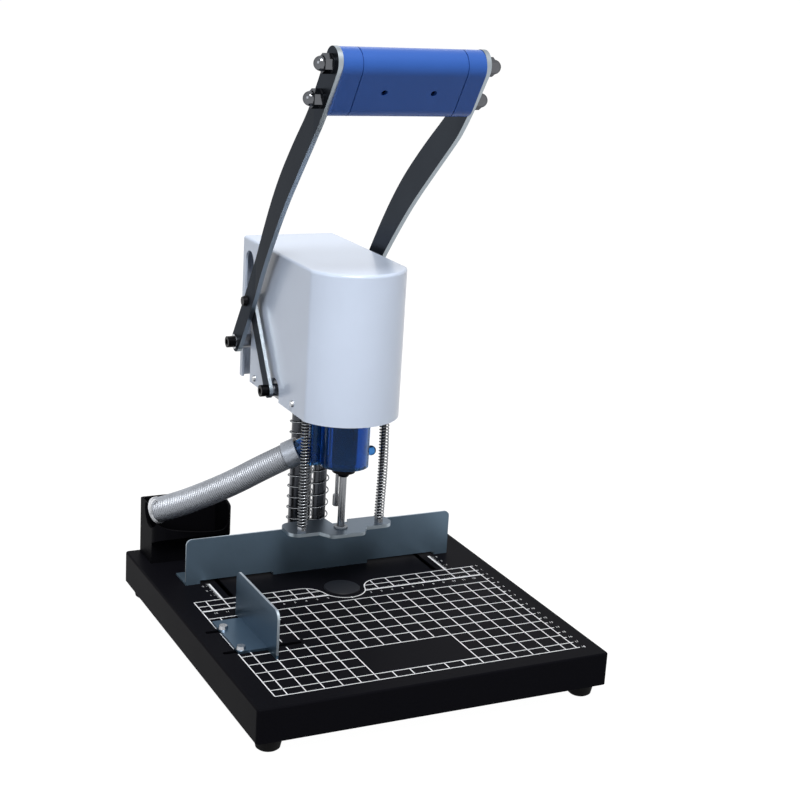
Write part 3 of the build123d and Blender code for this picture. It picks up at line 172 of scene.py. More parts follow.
class Paint:
    """A material being written: its tree, its shader and the calls that add nodes to it."""

    def __init__(self, name: str) -> None:
        """Start a material with one Principled shader."""
        self.material = bpy.data.materials.new(name)
        self.material.use_nodes = True
        self.tree = self.material.node_tree
        self.shader = next(n for n in self.tree.nodes if n.type == "BSDF_PRINCIPLED")

    def node(
        self,
        kind: str,
        settings: dict[str, object] | None = None,
        inputs: dict[str | int, object] | None = None,
    ) -> Node:
        """Add one node.

        Args:
            kind: The node's type, without its ShaderNode prefix.
            settings: Attributes that are set first.
            inputs: Values or links of its sockets, by name or number.

        Returns:
            The new node.
        """
        node = self.tree.nodes.new(f"ShaderNode{kind}")
        for key, value in (settings or {}).items():
            setattr(node, key, value)
        for key, value in (inputs or {}).items():
            self.set(node.inputs[key], value)
        return node

    def set(self, slot_in: NodeSocket, value: object) -> None:
        """Link a socket, or write its value."""
        if isinstance(value, Sock):
            self.tree.links.new(value.socket, slot_in)
        elif isinstance(value, tuple) and len(value) == 3 and slot_in.type == "RGBA":
            slot_in.default_value = (*value, 1.0)
        else:
            slot_in.default_value = value

    def out(self, node: Node, output: str | int = 0) -> Sock:
        """One output of a node, ready for arithmetic."""
        return Sock(self.tree, node.outputs[output])

    def shade(self, **values: object) -> None:
        """Set sockets of the shader; an underscore stands for a space."""
        for key, value in values.items():
            self.set(self.shader.inputs[key.replace("_", " ")], value)

    def place(self, scale: Triple = (1.0, 1.0, 1.0)) -> Sock:
        """Object coordinates, stretched along each axis."""
        coordinates = self.out(self.node("TexCoord"), "Object")
        return self.out(self.node("Mapping", inputs={"Vector": coordinates, "Scale": scale}))

    def noise(self, where: Sock, scale: float, detail: float = 3.0, rough: float = 0.55) -> Sock:
        """Noise from 0 to 1."""
        inputs = {"Vector": where, "Scale": scale, "Detail": detail, "Roughness": rough}
        return self.out(self.node("TexNoise", inputs=inputs))

    def mix(self, mask: Sock, low: Colour | Sock, high: Colour | Sock) -> Sock:
        """Blend two colours by a mask, on the node's colour sockets."""
        node = self.node("Mix", {"data_type": "RGBA"})
        self.set(node.inputs[0], mask)
        self.set(node.inputs[6], low)
        self.set(node.inputs[7], high)
        return Sock(self.tree, node.outputs[2])

    def vary(self, mask: Sock, colour: str, darker: float, lighter: float) -> Sock:
        """A screen colour that a mask makes darker or lighter by a share of itself."""
        light = linear(colour)
        return self.mix(mask, drift(light, 1 - darker), drift(light, 1 + lighter))

    def off_axis(self, axis: int) -> Sock:
        """One on the faces that look away from an axis, such as the edges of a plate; it places the
        painted edge highlight.
        """
        normal = self.out(self.node("NewGeometry"), "Normal")
        parts = self.node("SeparateXYZ", inputs={0: normal})
        return self.out(parts, axis).size() < 0.5

    def above(self, height: float) -> Sock:
        """One above a height over the floor."""
        parts = self.node("SeparateXYZ", inputs={0: self.place()})
        return self.out(parts, 2) > height

    def bump(self, height: Sock, depth: float) -> None:
        """Raise the surface by a height field of a real depth in millimetres."""
        inputs = {"Height": height, "Distance": depth * MM, "Strength": 1.0}
        self.shade(Normal=self.out(self.node("Bump", inputs=inputs)))


def grey(level: float) -> Colour:
    """A plain grey; as a metal's specular tint it dims what shows at a glancing angle."""
    return (level, level, level)


def drift(colour: Colour, factor: float) -> Colour:
    """The same colour, lighter or darker by a factor."""
    return tuple(min(c * factor, 1.0) for c in colour)


# -------- finishes
@dataclass(frozen=True)
class Enamel:
    """Sprayed and baked paint with a fine orange peel."""

    name: str
    colour: str
    roughness: float
    coat: float = 0.0
    specular: float = 0.5
    peel: float = 0.012
    peel_scale: float = 1200.0
    cloud_scale: float = 14.0
    tone: float = 0.06
    spread: float = 0.08
    coat_roughness: float = 0.08

    def make(self) -> Material:
        """Write the material."""
        paint = Paint(self.name)
        where = paint.place()
        cloud = paint.noise(where, self.cloud_scale)
        peel = paint.noise(where, self.peel_scale, detail=2.0)
        paint.shade(
            Base_Color=paint.vary(cloud, self.colour, self.tone, self.tone),
            Roughness=self.roughness + (cloud - 0.5) * self.spread,
            Coat_Weight=self.coat,
            Coat_Roughness=self.coat_roughness,
            Specular_IOR_Level=self.specular,
        )
        paint.bump(peel, self.peel)
        return paint.material


@dataclass(frozen=True)
class Metal:
    """Bare or plated metal with grain drawn out along one direction, and a painted highlight on its
    edges where an edge colour is given.
    """

    name: str
    colour: str
    roughness: float
    grain: Triple = (1.0, 1.0, 1.0)
    grain_scale: float = 600.0
    depth: float = 0.006
    spread: float = 0.10
    stain: float = 0.12
    # edge is the colour of a painted highlight on the faces that look away from the chosen axis,
    # above the chosen height in millimetres.
    edge: str | None = None
    edge_axis: int = 0
    edge_from: float = 0.0
    metallic: float = 1.0
    glance: float = 1.0
    patch_scale: float = 28.0
    patch_spread: float = 0.08

    def make(self) -> Material:
        """Write the material."""
        paint = Paint(self.name)
        streak = paint.noise(paint.place(self.grain), self.grain_scale, detail=4.0, rough=0.6)
        patch = paint.noise(paint.place(), self.patch_scale, detail=4.0)
        colour = paint.vary(patch, self.colour, self.stain, self.stain)
        # Painted highlight: the edges that look away from the axis take a lighter colour, as if
        # they caught the lamps.
        if self.edge:
            lit_edge_mask = paint.off_axis(self.edge_axis) * paint.above(self.edge_from * MM)
            colour = paint.mix(lit_edge_mask, colour, linear(self.edge))
        brushed = self.roughness + (streak - 0.5) * self.spread
        paint.shade(
            Base_Color=colour,
            Metallic=self.metallic,
            Specular_Tint=grey(self.glance),
            Roughness=(brushed + (patch - 0.5) * self.patch_spread).clamp(),
        )
        paint.bump(streak, self.depth)
        return paint.material


@dataclass(frozen=True)
class Zinc(Metal):
    """Zinc-plated sheet, which has a coarse grain."""

    grain_scale: float = 180.0


@dataclass(frozen=True)
class Moulded:
    """Injection-moulded plastic or rubber with a spark-eroded texture."""

    name: str
    colour: str
    roughness: float
    pebble: float = 0.02
    pebble_scale: float = 1400.0
    specular: float = 0.5
    glance: float = 1.0
    cloud_scale: float = 20.0
    tone: float = 0.08
    spread: float = 0.12

    def make(self) -> Material:
        """Write the material."""
        paint = Paint(self.name)
        where = paint.place()
        cloud = paint.noise(where, self.cloud_scale)
        pebble = paint.noise(where, self.pebble_scale, detail=2.0)
        paint.shade(
            Base_Color=paint.vary(cloud, self.colour, self.tone, self.tone),
            Roughness=self.roughness + (pebble - 0.5) * self.spread,
            Specular_IOR_Level=self.specular,
            Specular_Tint=grey(self.glance),
        )
        paint.bump(pebble, self.pebble)
        return paint.material


@dataclass(frozen=True)
class ClearMoulded:
    """Tinted see-through plastic with faint flow marks."""

    name: str
    colour: str
    roughness: float
    clear: float
    specular: float
    glance: Colour = (0.25, 0.40, 0.70)
    index: float = 1.49
    flow: Triple = (1.0, 1.0, 0.3)
    flow_scale: float = 60.0
    tone: float = 0.15
    spread: float = 0.06
    depth: float = 0.02

    def make(self) -> Material:
        """Write the material."""
        paint = Paint(self.name)
        flow = paint.noise(paint.place(self.flow), self.flow_scale)
        paint.shade(
            Base_Color=paint.vary(flow, self.colour, self.tone, self.tone),
            Roughness=self.roughness + (flow - 0.5) * self.spread,
            Transmission_Weight=self.clear,
            IOR=self.index,
            Specular_IOR_Level=self.specular,
            Specular_Tint=self.glance,
        )
        paint.bump(flow, self.depth)
        return paint.material


@dataclass(frozen=True)
class FoilHose:
    """Foil-faced hose whose creases catch the light between the rings."""

    name: str
    colour: str
    roughness: float
    crumple: float
    metallic: float = 0.6
    crease_scale: float = 260.0
    patch_scale: float = 40.0
    darker: float = 0.28
    lighter: float = 0.12
    spread: float = 0.25

    def make(self) -> Material:
        """Write the material."""
        paint = Paint(self.name)
        where = paint.place()
        crease = paint.noise(where, self.crease_scale, detail=5.0, rough=0.65)
        patch = paint.noise(where, self.patch_scale)
        paint.shade(
            Base_Color=paint.vary(patch, self.colour, self.darker, self.lighter),
            Metallic=self.metallic,
            Roughness=self.roughness + (crease - 0.5) * self.spread,
        )
        paint.bump(crease, self.crumple)
        return paint.material


class Finish(Enum):
    """Each finish of the machine, its colours as hexadecimal digits of the screen."""

    BASE = Enamel("base_enamel", "0d0d11", 0.42, specular=0.01)
    COVER = Enamel("cover_enamel", "cad6ea", 0.30, 0.30, peel=0.006)
    # The edge colours of ARM, ZINC, PLATE and GAUGE are painted highlights on their edges.
    ARM = Metal("arm_steel", "3c4046", 0.32, edge="a4adb4", glance=0.45)
    ZINC = Zinc(
        "fence_zinc", "5f7384", 0.38, edge="a3b1bc", edge_axis=1, edge_from=FLANGE_Z, metallic=0.62
    )
    PLATE = Zinc("plate_zinc", "566472", 0.34, edge="a9b5be", edge_axis=2)
    GAUGE = Zinc("gauge_zinc", "4d6478", 0.32, edge="b4c0ca", edge_from=FLANGE_Z, metallic=0.8)
    GROUND = Metal("ground_steel", "85878b", 0.20, (1.0, 1.0, 0.04), 900.0)
    DARK = Metal("dark_steel", "45474c", 0.28, (1.0, 1.0, 0.2), 700.0)
    PLATED = Metal("plated_hardware", "b0b3b8", 0.24)
    OXIDE = Metal("black_oxide", "151517", 0.42, stain=0.3)
    CHROME = Metal("chrome", "66686c", 0.10, depth=0.001, spread=0.04, stain=0.04, glance=0.4)
    WIRE = Metal("spring_wire", "8b8e92", 0.22, (0.2, 0.2, 1.0), 1500.0, glance=0.5)
    BRONZE = Metal("sintered_bronze", "9a7f55", 0.42)
    ALLOY = Metal("machined_alloy", "8f9297", 0.36, (0.1, 1.0, 1.0), 700.0)
    GRIP = Moulded("grip_plastic", "3259a4", 0.36, 0.008, 1600.0, 0.35, 0.4)
    BLACK = Moulded("black_plastic", "0c0c0f", 0.48, 0.02, 1100.0, 0.012)
    CORE = Moulded("housing_black", "08090f", 0.50, 0.01, 1100.0, 0.05)
    RUBBER = Moulded("rubber", "0e0e0f", 0.75, 0.03, 900.0, 0.1)
    PAD = Moulded("cutting_pad", "131419", 0.42, 0.02, 800.0, 0.15)
    NYLON = Moulded("white_nylon", "d8dade", 0.45, 0.01, 900.0)
    GUIDE = Moulded("natural_nylon", "62686f", 0.45, 0.01, 900.0)
    INK = Moulded("white_print", "e6e8eb", 0.50, 0.004, 900.0, 0.3)
    CLEAR = ClearMoulded("chamber_plastic", "3d7cc0", 0.08, 0.94, 0.3)
    HOSE = FoilHose("hose_foil", "989ca3", 0.42, 0.3)
    CUFF = FoilHose("cuff_foil", "989ea8", 0.30, 0.5)


NODE_FINISH: dict[Finish, str] = {
    Finish.BASE: "base_housing floor_plate",
    Finish.RUBBER: "feet",
    Finish.PLATED: (
        "foot_bolts foot_nuts column_nuts spring_seats fence_nuts gauge_nuts cover_screws "
        "fulcrum_washers rod_nuts gauge_screws"
    ),
    Finish.CORE: "spindle_housing",
    Finish.PLATE: "press_plate",
    Finish.CUFF: "hose_cuff",
    Finish.GROUND: "spindle_bearings spindle drill_bit tie_rods link_studs stop_rod",
    Finish.DARK: "main_column guide_column column_block plate_rods",
    Finish.PAD: "cutting_pad",
    Finish.ALLOY: "yoke carriage",
    Finish.ZINC: "fence",
    Finish.GAUGE: "side_gauge",
    Finish.OXIDE: "fence_screws motor grip_screws fulcrum_screws link_pins link_screws collet_nut",
    Finish.CHROME: "acorn_nuts grip_washers",
    Finish.WIRE: "main_spring guide_spring press_springs",
    Finish.BRONZE: "main_bush guide_sleeve",
    Finish.COVER: "head_cover",
    Finish.ARM: "lever_arm_left lever_arm_right link_bar_left link_bar_right",
    Finish.GRIP: "grip grip_caps",
    Finish.BLACK: "chip_bin micro_switch",
    Finish.GUIDE: "bit_guide",
    Finish.CLEAR: "suction_chamber",
    Finish.HOSE: "hose",
}


class Palette:
    """Makes each finish once and hands it out."""

    def __init__(self) -> None:
        """Start with nothing made."""
        self._made: dict[Finish, Material] = {}

    def get(self, finish: Finish) -> Material:
        """The material of a finish."""
        if finish not in self._made:
            self._made[finish] = finish.value.make()
        return self._made[finish]

    def dress(self, piece: Object, finish: Finish) -> None:
        """Give a whole piece one finish."""
        slots = piece.data.materials
        if not slots:
            slots.append(self.get(finish))
        for i in range(len(slots)):
            slots[i] = self.get(finish)


# -------- mesh tools
def new_object(name: str, data: ID) -> Object:
    """Put new object data in the scene."""
    made = bpy.data.objects.new(name, data)
    bpy.context.scene.collection.objects.link(made)
    return made


def evaluated_mesh(carrier: Object) -> Mesh:
    """What an object looks like with its modifiers and curve settings, as a plain mesh."""
    bpy.context.view_layer.update()
    evaluated = carrier.evaluated_get(bpy.context.evaluated_depsgraph_get())
    return bpy.data.meshes.new_from_object(evaluated)


def loft(mesh: BMesh, rings: Sequence[Sequence[BMVert]], capped: bool) -> None:
    """Join rings of vertices in turn, with a face over the first and the last if capped."""
    for lower, upper in zip(rings, rings[1:]):
        for k in range(len(lower)):
            j = (k + 1) % len(lower)
            mesh.faces.new((lower[k], lower[j], upper[j], upper[k]))
    if capped:
        mesh.faces.new(list(reversed(rings[0])))
        mesh.faces.new(rings[-1])


def mesh_piece(name: str, build: Callable[[BMesh], None], smooth: float = 35.0) -> Object:
    """Make a mesh piece.

    Args:
        name: The piece's name.
        build: Fills a bmesh in metres.
        smooth: Edges sharper than this many degrees stay hard.

    Returns:
        The piece.
    """
    mesh = bmesh.new()
    build(mesh)
    bmesh.ops.recalc_face_normals(mesh, faces=mesh.faces)
    for face in mesh.faces:
        face.smooth = True
    for edge in mesh.edges:
        if len(edge.link_faces) == 2:
            edge.smooth = edge.calc_face_angle(0.0) < math.radians(smooth)
    data = bpy.data.meshes.new(name)
    mesh.to_mesh(data)
    mesh.free()
    return new_object(name, data)


def slab(mesh: BMesh, low: Vector, high: Vector) -> None:
    """Add a closed box between two corners."""
    middle, size = (low + high) / 2, high - low
    matrix = Matrix.Translation(middle) @ Matrix.Diagonal((*size, 1.0))
    bmesh.ops.create_cube(mesh, size=1.0, matrix=matrix)


def tube(
    mesh: BMesh, centres: Sequence[Vector], radii: Sequence[float], sides: int, bore: float = 0.0
) -> None:
    """Sweep a circle along points with a steady frame, solid or with a bore.

    Args:
        mesh: Takes the tube.
        centres: Points along its middle.
        radii: Its outer radius at each.
        sides: Number of sides.
        bore: Radius of its bore, or 0.
    """
    angles = [2 * math.pi * k / sides for k in range(sides)]
    rings, inner, side_way = [], [], None
    for i, centre in enumerate(centres):
        ahead = (centres[min(i + 1, len(centres) - 1)] - centres[max(i - 1, 0)]).normalized()
        if side_way is None:
            side_way = ahead.orthogonal().normalized()
        side_way = (side_way - ahead * side_way.dot(ahead)).normalized()
        other = ahead.cross(side_way)
        spokes = [side_way * math.cos(a) + other * math.sin(a) for a in angles]
        rings.append([mesh.verts.new(centre + spoke * radii[i]) for spoke in spokes])
        if bore:
            inner.append([mesh.verts.new(centre + spoke * bore) for spoke in spokes])
    if bore:
        rings += [*reversed(inner), rings[0]]
    loft(mesh, rings, not bore)


# -------- geometry node tools
class Tree:
    """A geometry node tree that is written in the script."""

    def __init__(self, name: str, inputs: Iterable[tuple[str, str]]) -> None:
        """Start a tree.

        Args:
            name: The tree's name.
            inputs: (name, socket type) of each input after the geometry.
        """
        self.tree = bpy.data.node_groups.new(name, "GeometryNodeTree")
        face = self.tree.interface
        face.new_socket("Geometry", in_out="INPUT", socket_type="NodeSocketGeometry")
        self.keys = {}
        for label, kind in inputs:
            made = face.new_socket(label, in_out="INPUT", socket_type=f"NodeSocket{kind}")
            self.keys[label] = made.identifier
        face.new_socket("Geometry", in_out="OUTPUT", socket_type="NodeSocketGeometry")
        self.source = self.tree.nodes.new("NodeGroupInput")
        self.sink = self.tree.nodes.new("NodeGroupOutput")

    def node(self, kind: str, **inputs: object) -> Node:
        """Add a node; an input is a value or another node's output."""
        node = self.tree.nodes.new(f"GeometryNode{kind}")
        for key, value in inputs.items():
            slot_in = node.inputs[key.replace("_", " ")]
            if isinstance(value, NodeSocket):
                self.tree.links.new(value, slot_in)
            else:
                slot_in.default_value = value
        return node

    def close(self, geometry: NodeSocket) -> None:
        """Realize what was instanced, set its material and end the tree."""
        real = self.node("RealizeInstances", Geometry=geometry)
        material = self.source.outputs["Material"]
        dressed = self.node("SetMaterial", Geometry=real.outputs[0], Material=material)
        self.tree.links.new(dressed.outputs[0], self.sink.inputs[0])

    def apply(self, carrier: Object, name: str, **values: object) -> Object:
        """Run the tree on an object and keep the result as a plain mesh.

        Args:
            carrier: The object that the modifier stands on; it is removed.
            name: Name of the piece that results.
            values: The tree's inputs; an underscore stands for a space.

        Returns:
            The new piece.
        """
        modifier = carrier.modifiers.new("made", "NODES")
        modifier.node_group = self.tree
        for key, value in values.items():
            modifier[self.keys[key.replace("_", " ")]] = value
        data = evaluated_mesh(carrier)
        data.name = name
        bpy.data.objects.remove(carrier)
        return new_object(name, data)


def tick_tree() -> Tree:
    """A tree that repeats a small flat bar along a line."""
    places = (("Start", "Vector"), ("Step", "Vector"), ("Bar", "Vector"))
    tree = Tree("tick_row", (("Count", "Int"), *places, ("Material", "Material")))
    get = tree.source.outputs
    row = tree.node("MeshLine", Count=get["Count"], Start_Location=get["Start"], Offset=get["Step"])
    bar = tree.node("MeshCube", Size=get["Bar"])
    ticks = tree.node("InstanceOnPoints", Points=row.outputs[0], Instance=bar.outputs[0])
    tree.close(ticks.outputs[0])
    return tree


def wire_tree() -> Tree:
    """A tree that sweeps a round wire along the object's own curve."""
    tree = Tree("round_wire", (("Radius", "Float"), ("Sides", "Int"), ("Material", "Material")))
    get = tree.source.outputs
    ring = tree.node("CurvePrimitiveCircle", Resolution=get["Sides"], Radius=get["Radius"])
    swept = tree.node(
        "CurveToMesh", Curve=get["Geometry"], Profile_Curve=ring.outputs[0], Fill_Caps=True
    )
    smooth = tree.node("SetShadeSmooth", Geometry=swept.outputs[0])
    tree.close(smooth.outputs[0])
    return tree


# -------- table print
@dataclass
class TablePrint:
    """The white centimetre grid and rulers printed on the table."""

    palette: Palette
    half_width: float = 130.0
    line: float = 0.9
    ruler_line: float = 1.7
    foot: float = 0.01
    film: float = 0.03
    pitch: float = 15.0
    first_line: float = 10.0
    ruler_front: float = 20.0
    rows: tuple[float, ...] = (35, 50, 65, 80, 95, 110, 125, 140, 155, 170, 180)
    panel_half_width: float = 45.0
    panel_front: float = 170.0
    panel_back: float = 125.0
    pad_forward: float = 10.5
    pad_radius: float = 19.5
    pad_blend: float = 18.0
    pad_steps: int = 96
    centre_mark: float = 3.0
    side_ruler_x: float = 105.0
    side_ruler_reach: float = 34.0
    slot_dys: tuple[float, ...] = (-59.0, -99.0)
    slot_margin: float = 4.6
    slot_reach: tuple[float, float] = (-144.0, -72.0)
    tick_line: float = 0.28
    ruler_ticks: tuple[tuple[str, int, float, int], ...] = (
        ("mm", 1, 1.1, 19),
        ("half", 5, 1.7, 20),
        ("cm", 10, 2.4, 20),
    )
    side_ticks: tuple[tuple[str, int, float], ...] = (
        ("mm", 1, 1.3),
        ("half", 5, 2.0),
        ("cm", 10, 3.2),
    )
    scale_tick: float = 3.0
    scale_marks: int = 19
    type_size: float = 3.45
    first_figure: int = 2
    ruler_figures: float = 25.5
    side_figures: float = 6.6
    scale_figures: float = 6.4

    def _bar(self, mesh: BMesh, x0: float, x1: float, d0: float, d1: float) -> None:
        """Add a printed bar between two x and two distances in front of the drill axis."""
        low = place(min(x0, x1), -max(d0, d1), self.foot)
        high = place(max(x0, x1), -min(d0, d1), self.film)
        slab(mesh, low, high)

    def _down(self, mesh: BMesh, x: float, d0: float, d1: float, width: float) -> None:
        """Add a line along Y, broken where it meets the gauge slots."""
        stops = [d0]
        if self.slot_reach[0] < x < self.slot_reach[1]:
            for dy in self.slot_dys:
                if d0 < -dy < d1:
                    stops += [-dy - self.slot_margin, -dy + self.slot_margin]
        stops.append(d1)
        for start, end in zip(stops[::2], stops[1::2]):
            if end > start:
                self._bar(mesh, x - width / 2, x + width / 2, start, end)

    def _across(self, mesh: BMesh, d: float, x0: float, x1: float, width: float) -> None:
        """Add a line along X, broken where it runs beside a gauge slot."""
        near = any(abs(-dy - d) < self.slot_margin for dy in self.slot_dys)
        if near and x0 < self.slot_reach[1]:
            x0 = self.slot_reach[1]
        self._bar(mesh, x0, x1, d - width / 2, d + width / 2)

    def _edge_reach(self) -> float:
        """Where the line round the pad meets the straight back line."""
        span = self.pad_radius + self.pad_blend
        return math.sqrt(span**2 - (self.pad_blend - self.pad_forward) ** 2)

    def _round_start(self, x: float) -> float:
        """How far in front of the axis the line round the pad passes at a given x."""
        reach, x = self._edge_reach(), abs(x)
        if x >= reach:
            return 0.0
        if x >= reach * self.pad_radius / (self.pad_radius + self.pad_blend):
            return self.pad_blend - math.sqrt(max(self.pad_blend**2 - (reach - x) ** 2, 0.0))
        return self.pad_forward + math.sqrt(self.pad_radius**2 - x**2)

    def _line_start(self, d: float) -> float:
        """Where a line along X meets the line round the pad."""
        share = self.pad_radius / (self.pad_radius + self.pad_blend)
        if d > self.pad_forward + (self.pad_blend - self.pad_forward) * share:
            return math.sqrt(self.pad_radius**2 - (d - self.pad_forward) ** 2)
        return self._edge_reach() - math.sqrt(self.pad_blend**2 - (self.pad_blend - d) ** 2)

    def _grid(self, mesh: BMesh) -> None:
        """Fill in the grid."""
        half, width, reach = self.half_width, self.line, self._edge_reach()
        last_column = int(half // self.pitch)
        for d in self.rows:
            if self.panel_back < d < self.panel_front:
                self._across(mesh, d, -half, -self.panel_half_width, width)
                self._across(mesh, d, self.panel_half_width, half, width)
            else:
                self._across(mesh, d, -half, half, width)
        first, last = self.rows[0], self.rows[-1]
        for x in (i * self.pitch for i in range(-last_column, last_column + 1)):
            if abs(x) < self.panel_half_width:
                self._down(mesh, x, first, self.panel_back, width)
                self._down(mesh, x, self.panel_front, last, width)
            else:
                self._down(mesh, x, first, last, width)
            start = self._round_start(x)
            if start < self.ruler_front:
                self._down(mesh, x, start, self.ruler_front, width)
        for sign in (-1, 1):
            self._down(mesh, sign * half, 0, last, width)
            for d, thick in ((self.first_line, width), (self.ruler_front, self.ruler_line)):
                inner = sign * self._line_start(d)
                self._bar(mesh, inner, sign * half, d - thick / 2, d + thick / 2)
            inner, outer = (self.side_ruler_x + k * self.ruler_line / 2 for k in (-1, 1))
            self._bar(mesh, sign * inner, sign * outer, -self.side_ruler_reach, 0)
            self._bar(mesh, sign * reach, sign * half, -width / 2, width / 2)
        front, mark = self.pad_forward + self.pad_radius, self.centre_mark / 2
        self._bar(mesh, -width / 2, width / 2, front - mark, front + mark)

    def _pad_line(self, mesh: BMesh) -> None:
        """Add the smooth line that runs round the pad."""
        reach, steps = self._edge_reach(), self.pad_steps
        turns = [math.pi / 2 * (2 * i / steps - 1) for i in range(steps + 1)]
        path = [(reach * math.sin(a), self._round_start(reach * math.sin(a))) for a in turns]
        section = ((-1, self.foot), (1, self.foot), (1, self.film), (-1, self.film))
        rings = []
        for i, (x, d) in enumerate(path):
            before, after = path[max(i - 1, 0)], path[min(i + 1, steps)]
            run = Vector((after[0] - before[0], after[1] - before[1])).normalized()
            out = Vector((-run.y, run.x)) * self.line / 2
            places = [place(x + s * out.x, -(d + s * out.y), h) for s, h in section]
            rings.append([mesh.verts.new(where) for where in places])
        loft(mesh, rings, True)

    def _row(
        self, tree: Tree, name: str, count: int, start: Vector, step: Triple, bar: Triple
    ) -> Object:
        """Make one row of ticks.

        Args:
            tree: The tick tree.
            name: Name of the row.
            count: Number of ticks.
            start: Place of the first one's middle, in the frame.
            step: From one tick to the next, in millimetres.
            bar: Size of a tick, in millimetres.

        Returns:
            The row.
        """
        return tree.apply(
            new_object("carrier", bpy.data.meshes.new("carrier")),
            name,
            Count=count,
            Start=start,
            Step=Vector(step) * MM,
            Bar=Vector(bar) * MM,
            Material=self.palette.get(Finish.INK),
        )

    def _ticks(self) -> list[Object]:
        """Make every row of ruler ticks."""
        tree, rows = tick_tree(), []
        mid = (self.film + self.foot) / 2
        for sign, hand in ((-1, "left"), (1, "right")):
            for kind, step, length, first in self.ruler_ticks:
                count = int((self.half_width - first) // step) + 1
                d = -self.ruler_front + length / 2 + self.ruler_line / 2
                start, bar = place(sign * first, d, mid), (self.tick_line, length, self.film)
                name = f"ruler_ticks_{kind}_{hand}"
                rows.append(self._row(tree, name, count, start, (sign * step, 0, 0), bar))
            for kind, step, length in self.side_ticks:
                count = int(self.side_ruler_reach // step) + 1
                x = self.side_ruler_x + length / 2 + self.ruler_line / 2
                start, bar = place(sign * x, 0, mid), (length, self.tick_line, self.film)
                name = f"side_ticks_{kind}_{hand}"
                rows.append(self._row(tree, name, count, start, (0, step, 0), bar))
        start = place(self.half_width + self.scale_tick / 2, 0, mid)
        bar = (self.scale_tick, self.line, self.film)
        rows.append(self._row(tree, "front_scale_ticks", self.scale_marks, start, (0, -CM, 0), bar))
        return rows

    def _figure(self, text: str, x: float, d: float) -> Object:
        """Make one printed number, centred at a place on the table."""
        curve = bpy.data.curves.new("figure", "FONT")
        curve.body = text
        curve.size = self.type_size * MM
        curve.align_x = "CENTER"
        curve.align_y = "CENTER"
        curve.extrude = (self.film - self.foot) / 2 * MM
        curve.resolution_u = 3
        carrier = new_object("figure", curve)
        data = evaluated_mesh(carrier)
        data.transform(Matrix.Translation(place(x, -d, (self.film + self.foot) / 2)))
        bpy.data.objects.remove(carrier)
        return new_object(f"figure_{text}", data)

    def make(self) -> list[Object]:
        """Print the table.

        Returns:
            The pieces of the print.
        """
        grid = mesh_piece("grid_lines", self._grid)
        pad_line = mesh_piece("pad_outline", self._pad_line)
        figures = []
        for sign in (-1, 1):
            for n in range(self.first_figure, int(self.half_width // CM)):
                figures.append(self._figure(str(n), sign * n * CM, self.ruler_figures))
            x = sign * (self.side_ruler_x + self.side_figures)
            for n in range(int(self.side_ruler_reach // CM) + 1):
                figures.append(self._figure(str(n), x, -n * CM))
        for n in range(self.scale_marks):
            figures.append(self._figure(str(n), self.half_width + self.scale_figures, n * CM))
        numbers = join("ruler_numbers", figures)
        made = [grid, pad_line, numbers, *self._ticks()]
        for piece in made:
            self.palette.dress(piece, Finish.INK)
            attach(piece, "base")
        return made


def join(name: str, pieces: Sequence[Object]) -> Object:
    """Merge meshes that sit at the origin into one piece."""
    mesh = bmesh.new()
    for piece in pieces:
        mesh.from_mesh(piece.data)
        bpy.data.objects.remove(piece)
    data = bpy.data.meshes.new(name)
    mesh.to_mesh(data)
    mesh.free()
    return new_object(name, data)


# -------- springs
@dataclass(frozen=True)
class Coil:
    """One spring.

    It holds the names of its piece and its node, x and dy of its axis, the diameter of its wire,
    its mean radius, its turns, the heights of its ends over the table, and how far it bends
    sideways in the middle, as a long spring does.
    """

    name: str
    node: str
    axis: tuple[float, float]
    wire: float
    radius: float
    turns: int
    low: float
    high: float
    bow: float = 0.0


